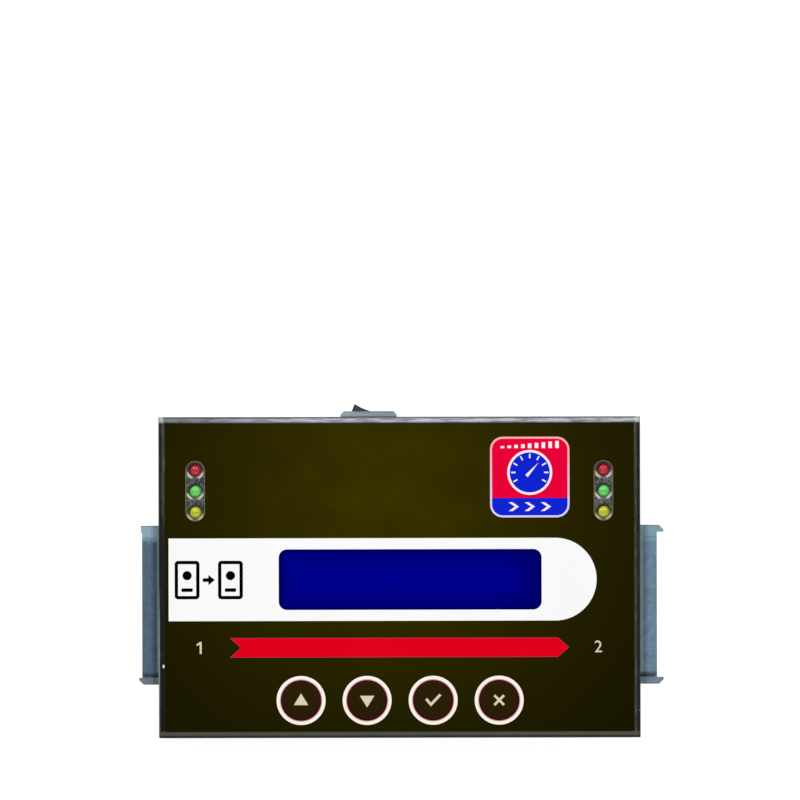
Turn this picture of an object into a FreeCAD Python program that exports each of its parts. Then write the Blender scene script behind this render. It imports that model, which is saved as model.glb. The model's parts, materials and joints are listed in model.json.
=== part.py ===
import FreeCAD, Part
import math
import os

os.makedirs("parts", exist_ok=True)

# A drive copier in a folded sheet-metal case, in millimetres, +Z up, standing on its feet at Z = 0.
# +X points out of the target side, +Y towards the rear wall with the power switch.
# Everything is drawn about the case's own centre and moved to the origin of the bounding box at the end.

# Metal case
case_length = 120.0
case_depth = 80.0
case_height = 28.0
sheet = 1.0
bend_radius = 1.3
foot_height = 2.0
foot_radius = 4.5
foot_inset = 9.0
foot_taper = 0.6
foot_edge = 0.4
tray_clearance = 0.15
case_screw_rear_inset = 10.0
case_screw_front_inset = 6.0

# Fits that several pieces share
seat_clearance = 0.1
hole_clearance = 0.1
thread_clearance = 0.05
running_clearance = 0.06
opening_clearance = 0.3
# How far a cutting shape runs past the face it cuts
overrun = 1.0

# Overlay and display window
overlay_thickness = 0.25
overlay_margin = 1.6
overlay_corner = 0.8
window_length = 65.5
window_depth = 15.1
window_corner = 1.8
window_x = 2.85
window_y = -0.55
lens_rim = 1.0
gasket_thickness = 0.4
gasket_width = 2.6

# Display module
lcd_board_margin_x = 4.4
lcd_board_margin_y = 5.4
lcd_hole_inset = 2.5
lcd_module_height = 8.0
bezel_margin_x = 2.85
bezel_margin_y = 5.05
bezel_sheet = 0.5
bezel_reveal = 0.4
bezel_tab_width = 2.5
bezel_tab_pitch = 22.0
bezel_tab_reach = 0.6
glass_thickness = 2.2
glass_clearance = 0.3
backlight_margin = 6.0
strip_width = 2.0
strip_gap = 0.5
spacer_radius = 2.5
spacer_thread_share = 0.4
header_pins = 16
header_pitch = 2.54
header_height = 2.5
header_inset = 6.7
pin_width = 0.64
pin_hole_radius = 0.5
tail_length = 1.2

# Main board
board_thickness = 1.6
board_side_gap = 0.85
board_end_gap = 3.0
standoff_height = 4.0
standoff_radius = 2.75
shank_radius = 2.1
board_hole_inset_x = 14.0
board_hole_inset_y = 4.0

# Screws
m3_radius = 1.5
m3_head_radius = 2.75
m3_head_height = 2.0
m25_radius = 1.25
m25_head_radius = 2.25
m25_head_height = 1.5
flat_head_radius = 2.2
pan_head_round = 0.5
case_screw_length = 5.0
drive_radius = 0.9
drive_depth = 0.7

# Keys and their switches
key_names = ["up", "down", "confirm", "back"]
key_pitch = 16.45
key_row_x = 0.1
key_row_inset = 9.35
key_radius = 4.85
key_gap = 0.2
key_proud = 0.4
key_crown = 0.25
key_edge = 0.3
key_flange_lip = 0.9
key_flange_thickness = 0.8
key_flange_gap = 0.1
key_travel = 0.3
key_stem_wall = 0.95
key_stem_length = 3.5
key_socket_depth = 1.5
plunger_radius = 1.75
plunger_seat = 0.02
plunger_engagement = 2.0
switch_width = 6.0
switch_height = 3.5
switch_leg_pitch = 4.5
switch_leg_width = 0.7
switch_leg_thickness = 0.3
switch_leg_rise = 1.5
switch_leg_hole = 0.55

# Status lights
led_colours = ["red", "green", "yellow"]
led_radius = 1.5
led_flange_radius = 1.9
led_flange_height = 1.0
led_height = 5.3
led_proud = 0.5
led_hole_radius = 1.7
led_hole_chamfer = 0.35
led_pitch = 5.25
led_row_gap = 8.6
led_inset = 9.15
led_slot_width = 4.8
led_slot_ends = 4.5
led_spacer_gap = 0.45
led_spacer_bore = 1.75
led_lead_width = 0.5
led_lead_spread = 1.27
led_lead_hole = 0.45

# Drive receptacles: blade slots for 7 signal and 15 power contacts
receptacle_end_margin = 3.105
receptacle_y = -6.85
receptacle_depth = 12.6
receptacle_height = 8.0
receptacle_reach = 4.1
signal_width = 10.41
power_width = 20.57
segment_gap = 2.41
signal_contacts = 7
power_contacts = 15
contact_pitch = 1.27
contact_width = 0.6
contact_thickness = 0.25
contact_setback = 0.8
contact_lift = 0.1
contact_leg_gap = 0.3
contact_foot = 1.5
slot_height = 1.5
slot_depth = 6.0
slot_level = 3.65
slot_key_width = 1.3
slot_key_height = 1.4
arm_thickness = 1.75
arm_reach_target = 1.7
arm_reach_source = 0.8
arm_chamfer = 1.15
arm_round = 0.3
arm_groove_width = 0.6
arm_groove_depth = 1.4
arm_groove_setback = 0.5
end_zone_length = 3.0
end_zone_drop = 0.4

# DC inlet
jack_inset = 30.0
jack_width = 9.0
jack_depth = 14.2
jack_height = 11.0
jack_axis_height = 6.5
jack_bore_radius = 3.2
jack_bore_depth = 9.5
jack_pin_radius = 1.05
jack_pin_setback = 1.0
jack_hole_radius = 4.0
jack_tab_width = 2.0
jack_tab_thickness = 0.6

# Rocker switch in the rear wall
rocker_x = -7.6
rocker_bezel_lip = 0.55
rocker_bezel_proud = 1.4
rocker_bezel_chamfer = 0.8
rocker_opening_length = 11.9
rocker_opening_height = 7.5
rocker_wall = 0.5
rocker_body_depth = 12.0
rocker_back_wall = 2.5
rocker_lug_width = 3.0
rocker_lug_length = 1.45
rocker_lug_proud = 0.3
paddle_end_gap = 1.2
paddle_waist_draft = 0.35
paddle_skirt_drop = 2.0
paddle_pivot_depth = 4.6
paddle_tilt_deg = 12.0
paddle_side_gap = 0.15
paddle_pin_radius = 0.8
paddle_pin_reach = 0.5
paddle_edge = 0.2
paddle_hollow = 0.25
paddle_hub_radius = 2.4
paddle_stub_width = 2.0
paddle_stub_length = 3.2
terminal_pitch = 5.0
terminal_width = 2.8
terminal_thickness = 0.5
terminal_length = 5.0
lead_radius = 0.6
lead_bend_radius = 1.6
lead_run = 0.6
connector_margin = 1.75
connector_depth = 4.0
connector_height = 5.0

# Parts on the main board
processor_width = 17.0
processor_height = 1.2
processor_x = 4.0
processor_y = -1.0
sink_width = 16.0
sink_base = 1.5
sink_height = 4.0
sink_fins = 6
sink_fin_width = 1.0
memory_x = -17.0
memory_width = 8.0
memory_depth = 10.0
memory_height = 1.1
memory_pitch = 13.0
firmware_x = 24.0
firmware_y = -7.0
firmware_width = 5.0
firmware_depth = 6.0
firmware_height = 1.6
crystal_x = 24.0
crystal_y = 4.0
crystal_length = 11.0
crystal_depth = 4.6
crystal_height = 3.5
capacitor_x = 16.0
capacitor_inset = 8.0
capacitor_pitch = 8.0
capacitor_radius = 3.15
capacitor_height = 7.7
capacitor_edge = 0.4
coil_x = 33.0
coil_inset = 6.5
coil_width = 7.3
coil_height = 4.0
coil_corner = 1.2
resistor_setback = 6.0
resistor_count = 6
resistor_pitch = 2.4
resistor_length = 2.0
resistor_width = 1.25
resistor_height = 0.5

# Levels, from the table up
floor_top = foot_height + sheet
board_bottom = floor_top + standoff_height
board_top = board_bottom + board_thickness
lid_under = case_height - sheet
overlay_top = case_height + overlay_thickness
lcd_top = lid_under - gasket_thickness
lcd_board_top = lcd_top - lcd_module_height
lcd_board_bottom = lcd_board_top - board_thickness
receptacle_top = board_top + receptacle_height
rocker_z = (board_top + lid_under) / 2
jack_z = board_top + jack_axis_height
tray_flange_top = board_top - opening_clearance
case_screw_z = (floor_top + tray_flange_top) / 2
tail_bottom = board_bottom - tail_length

# Half sizes and faces that several pieces share
half_length = case_length / 2
half_depth = case_depth / 2
inner_x = half_length - sheet
inner_y = half_depth - sheet
tray_x = inner_x - tray_clearance
tray_y = inner_y - tray_clearance
tray_inner_x = tray_x - sheet
board_x = tray_inner_x - board_side_gap
board_y = inner_y - board_end_gap
led_x = half_length - led_inset
key_row_y = key_row_inset - half_depth
jack_x = half_length - jack_inset
receptacle_length = power_width + segment_gap + signal_width + 2 * receptacle_end_margin
led_row_y = receptacle_y + receptacle_length / 2 + led_row_gap
led_slot_length = led_pitch * (len(led_colours) - 1) + led_slot_ends
led_spacer_radius = (led_pitch - led_spacer_gap) / 2
key_flange_radius = key_radius + key_flange_lip
key_stem_radius = plunger_radius + key_stem_wall
bezel_length = window_length + 2 * bezel_margin_x
bezel_depth = window_depth + 2 * bezel_margin_y
lcd_board_length = bezel_length + 2 * lcd_board_margin_x
lcd_board_depth = bezel_depth + 2 * lcd_board_margin_y
key_hole_radius = key_radius + key_gap
spacer_height = lcd_board_bottom - board_top
spacer_engagement = spacer_thread_share * spacer_height
receptacle_face = half_length + receptacle_reach
receptacle_back = receptacle_face - receptacle_depth
resistor_x = receptacle_back - resistor_setback
capacitor_y = board_y - capacitor_inset
coil_y = coil_inset - board_y
case_screw_rear_y = half_depth - case_screw_rear_inset
case_screw_front_y = case_screw_front_inset - half_depth
rocker_body_half = rocker_opening_length / 2 + rocker_wall
rocker_body_half_z = rocker_opening_height / 2 + rocker_wall
rocker_bezel_half = rocker_body_half + rocker_bezel_lip
rocker_bezel_half_z = rocker_body_half_z + rocker_bezel_lip
paddle_half_length = rocker_opening_length / 2 - paddle_end_gap
rocker_face_y = half_depth + rocker_bezel_proud
pivot_y = rocker_face_y - paddle_pivot_depth
rocker_back_y = half_depth - rocker_body_depth
terminal_end_y = rocker_back_y + rocker_back_wall - terminal_length
lead_drop_y = terminal_end_y - lead_run - lead_bend_radius
connector_top = board_top + connector_height
jack_face_y = inner_y - opening_clearance
jack_back_y = jack_face_y - jack_depth
led_base = case_height + led_proud - led_height

V = FreeCAD.Vector
tolerance = 1e-6


def block(x0, x1, y0, y1, z0, z1):
    return Part.makeBox(x1 - x0, y1 - y0, z1 - z0, V(x0, y0, z0))


def centred_block(x, y, length, depth, z0, z1):
    return block(x - length / 2, x + length / 2, y - depth / 2, y + depth / 2, z0, z1)


def upright(x, y, z0, z1, radius):
    return Part.makeCylinder(radius, z1 - z0, V(x, y, z0))


def along(start, direction, length, radius):
    return Part.makeCylinder(radius, length, start, direction)


def rounded_plate(x, y, length, depth, z0, z1, corner):
    """An upright prism on a rectangle with round corners; a corner of half the length makes an obround."""
    hx = length / 2 - corner
    hy = depth / 2 - corner
    arcs = []
    for quarter in range(4):
        mid = math.radians(45 + 90 * quarter)
        cx = x + math.copysign(hx, math.cos(mid))
        cy = y + math.copysign(hy, math.sin(mid))
        angles = [mid + math.radians(turn) for turn in (-45, 0, 45)]
        arcs.append([V(cx + corner * math.cos(a), cy + corner * math.sin(a), z0) for a in angles])
    edges = []
    for arc, following in zip(arcs, arcs[1:] + arcs[:1]):
        edges.append(Part.Arc(*arc).toShape())
        if (following[0] - arc[2]).Length > tolerance:
            edges.append(Part.makeLine(arc[2], following[0]))
    return Part.Face(Part.Wire(edges)).extrude(V(0, 0, z1 - z0))


def prism_z(points, z0, z1):
    """A polygon drawn in X and Y, given from z0 to z1."""
    corners = [V(x, y, z0) for x, y in points]
    return Part.Face(Part.makePolygon(corners + corners[:1])).extrude(V(0, 0, z1 - z0))


def turned(profile, x, y):
    """A closed outline of edges in radius and height, turned once about the upright axis at x, y."""
    shape = Part.Face(Part.Wire(profile)).revolve(V(0, 0, 0), V(0, 0, 1), 360)
    return shape.translate(V(x, y, 0))


def joined(shapes):
    whole = shapes[0].fuse(shapes[1:]) if len(shapes) > 1 else shapes[0]
    return whole.removeSplitter()


def corners_of(x, y):
    return [(sx * x, sy * y) for sx in (-1, 1) for sy in (-1, 1)]


def lcd_corners():
    dx = lcd_board_length / 2 - lcd_hole_inset
    dy = lcd_board_depth / 2 - lcd_hole_inset
    return [(window_x + x, window_y + y) for x, y in corners_of(dx, dy)]


def key_places():
    first = key_row_x - key_pitch * (len(key_names) - 1) / 2
    return [(name, first + key_pitch * i) for i, name in enumerate(key_names)]


def led_places():
    """Side name, colour, x and y, from the rear light to the front one."""
    places = []
    for side, x in (("source", -led_x), ("target", led_x)):
        for i, colour in enumerate(led_colours):
            places.append((side, colour, x, led_row_y + led_pitch * (1 - i)))
    return places


def board_holes():
    return corners_of(board_x - board_hole_inset_x, board_y - board_hole_inset_y)


def header_places():
    """The pin row runs along the rear edge of the display board, in line with its rear holes."""
    start = window_x - lcd_board_length / 2 + lcd_hole_inset + header_inset
    y = window_y + lcd_board_depth / 2 - lcd_hole_inset
    return [(start + header_pitch * i, y) for i in range(header_pins)]


def case_screw_places():
    return [(side, y) for side in (-1, 1) for y in (case_screw_rear_y, case_screw_front_y)]


# Metal case

def top_cover():
    """A folded lid: top and four walls, with its corners closed and ground round."""
    outer = block(-half_length, half_length, -half_depth, half_depth, foot_height, case_height)
    edges = [e for e in outer.Edges if e.BoundBox.ZMax > foot_height + tolerance]
    outer = outer.makeFillet(bend_radius, edges)
    inner = block(-inner_x, inner_x, -inner_y, inner_y, foot_height - overrun, lid_under)
    inner_edges = [e for e in inner.Edges if e.BoundBox.ZMax > foot_height]
    lid = outer.cut(inner.makeFillet(bend_radius - sheet, inner_edges))
    rim = 2 * lens_rim
    cuts = [
        rounded_plate(window_x, window_y, window_length + rim, window_depth + rim,
                      lid_under - overrun, overlay_top, window_corner + lens_rim),
        centred_block(rocker_x, half_depth, 2 * (rocker_body_half + seat_clearance), 2 * (sheet + overrun),
                      rocker_z - rocker_body_half_z - seat_clearance,
                      rocker_z + rocker_body_half_z + seat_clearance),
        along(V(jack_x, inner_y - overrun, jack_z), V(0, 1, 0), sheet + 2 * overrun, jack_hole_radius),
    ]
    for _, x in key_places():
        cuts.append(upright(x, key_row_y, lid_under - overrun, overlay_top, key_hole_radius))
    for _, _, x, y in led_places():
        cuts.append(upright(x, y, lid_under - overrun, overlay_top, led_hole_radius))
        cuts.append(Part.makeCone(led_hole_radius, led_hole_radius + 2 * led_hole_chamfer,
                                  2 * led_hole_chamfer, V(x, y, case_height - led_hole_chamfer)))
    for side in (-1, 1):
        cuts.append(centred_block(side * half_length, receptacle_y, 2 * (sheet + overrun),
                                  receptacle_length + 2 * opening_clearance,
                                  foot_height - overrun, receptacle_top + opening_clearance))
    for side, y in case_screw_places():
        cuts.append(countersink(side, y))
    return lid.cut(cuts)


def countersink(side, y):
    """The cone and hole that a flat-headed side screw sits in, drawn inwards from the wall's face."""
    cone = flat_head_cone(side, y, seat_clearance / 2)
    reach = flat_head_radius - m25_radius
    start = V(side * (half_length - reach), y, case_screw_z)
    return cone.fuse(along(start, V(-side, 0, 0), sheet + overrun, m25_radius + hole_clearance))


def flat_head_cone(side, y, grow):
    depth = flat_head_radius - m25_radius
    face = V(side * half_length, y, case_screw_z)
    return Part.makeCone(flat_head_radius + grow, m25_radius + grow, depth, face, V(-side, 0, 0))


def base_tray():
    """A floor with two upturned side flanges, inside the lid's walls."""
    outer = block(-tray_x, tray_x, -tray_y, tray_y, foot_height, tray_flange_top)
    outer = outer.makeFillet(bend_radius, [e for e in outer.Edges if is_long_floor_edge(e, tray_x)])
    inner = block(-tray_inner_x, tray_inner_x, -tray_y - overrun, tray_y + overrun,
                  floor_top, tray_flange_top + overrun)
    inner = inner.makeFillet(bend_radius - sheet,
                             [e for e in inner.Edges if is_long_floor_edge(e, tray_inner_x)])
    cuts = [inner]
    for x, y in board_holes():
        cuts.append(upright(x, y, foot_height - overrun, floor_top + overrun, shank_radius))
    for side, y in case_screw_places():
        start = V(side * (tray_x + overrun), y, case_screw_z)
        cuts.append(along(start, V(-side, 0, 0), sheet + 2 * overrun, m25_radius + thread_clearance))
    return outer.cut(cuts)


def is_long_floor_edge(edge, x):
    box = edge.BoundBox
    low = box.ZMax < floor_top + sheet / 2
    return low and box.YLength > case_depth / 2 and abs(abs(box.Center.x) - x) < sheet / 2


def case_screws():
    """Four M2.5 screws with small countersunk heads, flush with the side walls."""
    screws = []
    for side, y in case_screw_places():
        inward = V(-side, 0, 0)
        face = V(side * half_length, y, case_screw_z)
        shank = along(face, inward, case_screw_length, m25_radius)
        screw = flat_head_cone(side, y, 0).fuse(shank)
        screws.append(screw.cut(along(face, inward, drive_depth, drive_radius)).removeSplitter())
    return screws


def rubber_feet():
    feet = []
    for x, y in corners_of(tray_x - foot_inset, tray_y - foot_inset):
        foot = Part.makeCone(foot_radius - foot_taper, foot_radius, foot_height, V(x, y, 0))
        feet.append(foot.makeFillet(foot_edge, [e for e in foot.Edges if is_far_rim(e, 0)]))
    return feet


# Top face

def overlay():
    """The printed sheet over the lid, with its window, key holes and light slots."""
    length = case_length - 2 * overlay_margin
    depth = case_depth - 2 * overlay_margin
    sheet_shape = rounded_plate(0, 0, length, depth, case_height, overlay_top, overlay_corner)
    low, high = case_height - overrun, overlay_top + overrun
    cuts = [rounded_plate(window_x, window_y, window_length, window_depth, low, high, window_corner)]
    for _, x in key_places():
        cuts.append(upright(x, key_row_y, low, high, key_hole_radius))
    for side in (-1, 1):
        cuts.append(rounded_plate(side * led_x, led_row_y, led_slot_width, led_slot_length,
                                  low, high, led_slot_width / 2))
    return sheet_shape.cut(cuts)


def display_window():
    grow = 2 * (lens_rim - seat_clearance)
    return rounded_plate(window_x, window_y, window_length + grow, window_depth + grow,
                         lid_under, case_height, window_corner + lens_rim - seat_clearance)


def display_gasket():
    grow = 2 * gasket_width
    frame = rounded_plate(window_x, window_y, window_length + grow, window_depth + grow,
                          lcd_top, lid_under, window_corner + gasket_width)
    return frame.cut(rounded_plate(window_x, window_y, window_length + 2 * seat_clearance,
                                   window_depth + 2 * seat_clearance,
                                   lcd_top - overrun, lid_under + overrun, window_corner))


# Display module

def bezel_tabs(grow, low):
    tabs = []
    for sy in (-1, 1):
        y = window_y + sy * (bezel_depth - bezel_sheet) / 2
        for step in (-1, 0, 1):
            tabs.append(centred_block(window_x + step * bezel_tab_pitch, y, bezel_tab_width + 2 * grow,
                                      bezel_sheet + 2 * grow, low, lcd_board_top + grow))
    return tabs


def lcd_bezel():
    shell = centred_block(window_x, window_y, bezel_length, bezel_depth, lcd_board_top, lcd_top)
    hollow = centred_block(window_x, window_y, bezel_length - 2 * bezel_sheet,
                           bezel_depth - 2 * bezel_sheet, lcd_board_top, lcd_top - bezel_sheet)
    opening = centred_block(window_x, window_y, window_length + 2 * bezel_reveal,
                            window_depth + 2 * bezel_reveal, lcd_board_top, lcd_top + overrun)
    tabs = bezel_tabs(0, lcd_board_bottom - bezel_tab_reach)
    return joined([shell.cut([hollow, opening])] + tabs)


def lcd_glass():
    shrink = 2 * (bezel_sheet + glass_clearance)
    return centred_block(window_x, window_y, bezel_length - shrink, bezel_depth - shrink,
                         lcd_top - bezel_sheet - glass_thickness, lcd_top - bezel_sheet)


def backlight_depth():
    return bezel_depth - 2 * (bezel_sheet + glass_clearance + strip_width + strip_gap)


def lcd_backlight():
    return centred_block(window_x, window_y, bezel_length - backlight_margin, backlight_depth(),
                         lcd_board_top, lcd_top - bezel_sheet - glass_thickness)


def lcd_contact_strips():
    """The rubber strips of fine contacts between the glass and its board, one on each long side."""
    offset = (backlight_depth() + strip_width) / 2 + strip_gap
    return [centred_block(window_x, window_y + sy * offset, bezel_length - backlight_margin, strip_width,
                          lcd_board_top, lcd_top - bezel_sheet - glass_thickness) for sy in (-1, 1)]


def lcd_board():
    board = centred_block(window_x, window_y, lcd_board_length, lcd_board_depth,
                          lcd_board_bottom, lcd_board_top)
    low, high = lcd_board_bottom - overrun, lcd_board_top + overrun
    cuts = [upright(x, y, low, high, m25_radius + hole_clearance) for x, y in lcd_corners()]
    cuts += [upright(x, y, low, high, pin_hole_radius) for x, y in header_places()]
    cuts += bezel_tabs(seat_clearance, low)
    return board.cut(cuts)


def pin_row(width, low, high):
    return [centred_block(x, y, width, width, low, high) for x, y in header_places()]


def lcd_header():
    """Two insulating strips on one row of pins, one on each board."""
    places = header_places()
    x = (places[0][0] + places[-1][0]) / 2
    length = header_pitch * header_pins
    strips = []
    for low in (board_top, lcd_board_bottom - header_height):
        strip = centred_block(x, places[0][1], length, header_height, low, low + header_height)
        strips.append(strip.cut(pin_row(pin_width, low - overrun, low + header_height + overrun)))
    return strips


def lcd_header_pins():
    return pin_row(pin_width, tail_bottom, lcd_board_top + tail_length)


def lcd_spacers():
    return [upright(x, y, board_top, lcd_board_bottom, spacer_radius).cut(
        upright(x, y, board_top, lcd_board_bottom, m25_radius)) for x, y in lcd_corners()]


def pan_screw(x, y, seat, up, reach, radius, head_radius, head_height):
    """A pan-headed screw whose head stands on the level seat and whose shank runs the other way."""
    head = along(V(x, y, seat), V(0, 0, up), head_height, head_radius)
    far_level = seat + up * head_height
    head = head.makeFillet(pan_head_round, [e for e in head.Edges if is_far_rim(e, far_level)])
    shank = along(V(x, y, seat), V(0, 0, -up), reach, radius - thread_clearance)
    drive = along(V(x, y, seat + up * (head_height - drive_depth)), V(0, 0, up), head_height, drive_radius)
    return head.fuse(shank).cut(drive).removeSplitter()


def is_far_rim(edge, level):
    return edge.BoundBox.ZLength < tolerance and abs(edge.BoundBox.ZMax - level) < tolerance


def lcd_screws():
    reach = board_thickness + spacer_engagement
    screws = []
    for x, y in lcd_corners():
        for seat, up in ((lcd_board_top, 1), (board_bottom, -1)):
            screws.append(pan_screw(x, y, seat, up, reach, m25_radius, m25_head_radius, m25_head_height))
    return screws


# Main board and what stands on it

def main_board():
    board = block(-board_x, board_x, -board_y, board_y, board_bottom, board_top)
    low, high = board_bottom - overrun, board_top + overrun
    cuts = [upright(x, y, low, high, m3_radius + hole_clearance) for x, y in board_holes()]
    cuts += [upright(x, y, low, high, m25_radius + hole_clearance) for x, y in lcd_corners()]
    cuts += [upright(x, y, low, high, pin_hole_radius) for x, y in header_places()]
    for _, x in key_places():
        cuts += [upright(x + dx, key_row_y + dy, low, high, switch_leg_hole) for dx, dy in switch_legs()]
    for _, _, x, y in led_places():
        cuts += [upright(x + dx, y, low, high, led_lead_hole) for dx in (-led_lead_spread, led_lead_spread)]
    cuts += jack_tabs(2 * seat_clearance, low, high)
    return board.cut(cuts)


def board_standoffs():
    """Clinch standoffs: a threaded pillar with a shank pressed into the tray's floor."""
    pillars = []
    for x, y in board_holes():
        pillar = upright(x, y, floor_top, board_bottom, standoff_radius)
        shank = upright(x, y, foot_height, floor_top, shank_radius)
        bore = upright(x, y, foot_height, board_bottom, m3_radius)
        pillars.append(pillar.fuse(shank).cut(bore).removeSplitter())
    return pillars


def board_screws():
    reach = board_thickness + standoff_height / 2
    return [pan_screw(x, y, board_top, 1, reach, m3_radius, m3_head_radius, m3_head_height)
            for x, y in board_holes()]


def processor_chip():
    return centred_block(processor_x, processor_y, processor_width, processor_width,
                         board_top, board_top + processor_height)


def heat_sink():
    base_level = board_top + processor_height
    solids = [centred_block(processor_x, processor_y, sink_width, sink_width,
                            base_level, base_level + sink_base)]
    step = (sink_width - sink_fin_width) / (sink_fins - 1)
    for i in range(sink_fins):
        x = processor_x - (sink_width - sink_fin_width) / 2 + step * i
        solids.append(centred_block(x, processor_y, sink_fin_width, sink_width,
                                    base_level, base_level + sink_height))
    return joined(solids)


def memory_chips():
    return [centred_block(memory_x, processor_y + s * memory_pitch / 2, memory_width, memory_depth,
                          board_top, board_top + memory_height) for s in (-1, 1)]


def firmware_chip():
    return centred_block(firmware_x, firmware_y, firmware_width, firmware_depth,
                         board_top, board_top + firmware_height)


def crystal():
    return rounded_plate(crystal_x, crystal_y, crystal_length, crystal_depth,
                         board_top, board_top + crystal_height, crystal_depth / 2)


def capacitors():
    cans = []
    for s in (-1, 1):
        can = upright(capacitor_x, capacitor_y + s * capacitor_pitch / 2,
                      board_top, board_top + capacitor_height, capacitor_radius)
        rims = [e for e in can.Edges if is_far_rim(e, board_top + capacitor_height)]
        cans.append(can.makeFillet(capacitor_edge, rims))
    return cans


def power_coil():
    return rounded_plate(coil_x, coil_y, coil_width, coil_width,
                         board_top, board_top + coil_height, coil_corner)


def chip_resistors():
    """A column of small parts behind each receptacle's contacts."""
    chips = []
    for side in (-1, 1):
        for i in range(resistor_count):
            y = receptacle_y + resistor_pitch * (i - (resistor_count - 1) / 2)
            chips.append(centred_block(side * resistor_x, y, resistor_length, resistor_width,
                                       board_top, board_top + resistor_height))
    return chips


# Keys

def switch_legs():
    return corners_of((switch_width + switch_leg_thickness) / 2, switch_leg_pitch / 2)


def key_switch(x):
    """A tact switch: a square body with four legs and a well for its plunger."""
    body = centred_block(x, key_row_y, switch_width, switch_width, board_top, board_top + switch_height)
    legs = [centred_block(x + dx, key_row_y + dy, switch_leg_thickness, switch_leg_width,
                          tail_bottom, board_top + switch_leg_rise) for dx, dy in switch_legs()]
    well_floor = plunger_bottom() - key_travel - seat_clearance
    well = upright(x, key_row_y, well_floor, board_top + switch_height + overrun,
                   plunger_radius + running_clearance)
    return joined([body] + legs).cut(well)


def plunger_bottom():
    return board_top + switch_height - plunger_engagement


def stem_bottom():
    return lid_under - key_flange_gap - key_flange_thickness - key_stem_length


def key_plunger(x):
    return upright(x, key_row_y, plunger_bottom(), stem_bottom() + key_socket_depth, plunger_radius)


def key_cap(x):
    """A round cap with a crowned top, a flange that stays under the lid and a socket for its plunger."""
    flange_top = lid_under - key_flange_gap
    flange_low = flange_top - key_flange_thickness
    bottom = stem_bottom()
    rim = overlay_top + key_proud
    bevel = key_radius - key_edge
    outline = [
        (0, bottom), (key_stem_radius, bottom), (key_stem_radius, flange_low),
        (key_flange_radius, flange_low), (key_flange_radius, flange_top), (key_radius, flange_top),
        (key_radius, rim - key_edge), (bevel, rim),
    ]
    points = [V(r, 0, z) for r, z in outline]
    edges = [Part.makeLine(a, b) for a, b in zip(points, points[1:])]
    crest = V(0, 0, rim + key_crown)
    sphere = (bevel ** 2 + key_crown ** 2) / (2 * key_crown)
    halfway = V(bevel / 2, 0, crest.z - sphere + math.sqrt(sphere ** 2 - bevel ** 2 / 4))
    edges.append(Part.Arc(points[-1], halfway, crest).toShape())
    edges.append(Part.makeLine(crest, points[0]))
    cap = turned(edges, x, key_row_y)
    return cap.cut(upright(x, key_row_y, bottom - overrun, bottom + key_socket_depth,
                           plunger_radius + plunger_seat))


# Status lights

def led(x, y):
    """A 3 mm lens with its base flange."""
    dome_level = led_base + led_height - led_radius
    flange = upright(x, y, led_base, led_base + led_flange_height, led_flange_radius)
    body = upright(x, y, led_base, dome_level, led_radius)
    return joined([flange, body, Part.makeSphere(led_radius, V(x, y, dome_level))])


def led_leads():
    return [centred_block(x + dx, y, led_lead_width, led_lead_width, tail_bottom, led_base)
            for _, _, x, y in led_places() for dx in (-led_lead_spread, led_lead_spread)]


def led_spacers():
    return [upright(x, y, board_top, led_base, led_spacer_radius).cut(
        upright(x, y, board_top, led_base, led_spacer_bore)) for _, _, x, y in led_places()]


# Drive receptacles, drawn facing +X about the middle of their length

def segments():
    """Start, width and contact count of the power and the signal slot, along the receptacle."""
    total = power_width + segment_gap + signal_width
    return [(-total / 2, power_width, power_contacts),
            (total / 2 - signal_width, signal_width, signal_contacts)]


def contact_places():
    places = []
    for start, width, count in segments():
        middle = start + width / 2
        places += [middle + contact_pitch * (i - (count - 1) / 2) for i in range(count)]
    return places


def contact_blade(y, x_low):
    floor_level = board_top + slot_level
    low = floor_level + contact_lift - contact_thickness
    return centred_block((x_low + receptacle_face - contact_setback) / 2, y,
                         receptacle_face - contact_setback - x_low, contact_width,
                         low, low + contact_thickness)


def receptacle(arm_reach, groove_end):
    """The housing: two keyed blade slots between two guide arms; groove_end is the arm with the groove."""
    half = receptacle_length / 2
    body_half = half - arm_thickness
    solids = [block(receptacle_back, receptacle_face, -body_half, body_half, board_top, receptacle_top)]
    tip = receptacle_face + arm_reach
    for end in (-1, 1):
        arm = [(receptacle_back, end * body_half), (tip, end * body_half),
               (tip, end * (half - arm_chamfer)), (tip - arm_chamfer, end * half),
               (receptacle_back, end * half)]
        solids.append(prism_z(arm, board_top, receptacle_top))
    housing = joined(solids)
    tip_edges = [e for e in housing.Edges if e.BoundBox.XMin > tip - tolerance
                 and e.BoundBox.ZLength > receptacle_height / 2]
    housing = housing.makeFillet(arm_round, tip_edges)
    slot_low = board_top + slot_level
    slot_back = receptacle_face - slot_depth
    mouth = receptacle_face + overrun
    cuts = []
    for start, width, _ in segments():
        end = start + width
        blade = block(slot_back, mouth, start, end, slot_low, slot_low + slot_height)
        key = block(slot_back, mouth, end - slot_key_width, end, slot_low,
                    slot_low + slot_height + slot_key_height)
        cuts.append(blade.fuse(key))
    zone_edge = -groove_end * (half - end_zone_length)
    zone_far = -groove_end * (half + overrun)
    cuts.append(block(receptacle_back - overrun, tip + overrun, min(zone_edge, zone_far),
                      max(zone_edge, zone_far), receptacle_top - end_zone_drop, receptacle_top + overrun))
    groove_y = groove_end * (body_half - arm_groove_width / 2)
    cuts.append(centred_block((half_length + receptacle_face - arm_groove_setback) / 2, groove_y,
                              receptacle_reach - arm_groove_setback, arm_groove_width,
                              receptacle_top - arm_groove_depth, receptacle_top + overrun))
    cuts += [contact_blade(y, receptacle_back - overrun) for y in contact_places()]
    return housing.cut(cuts)


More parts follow.
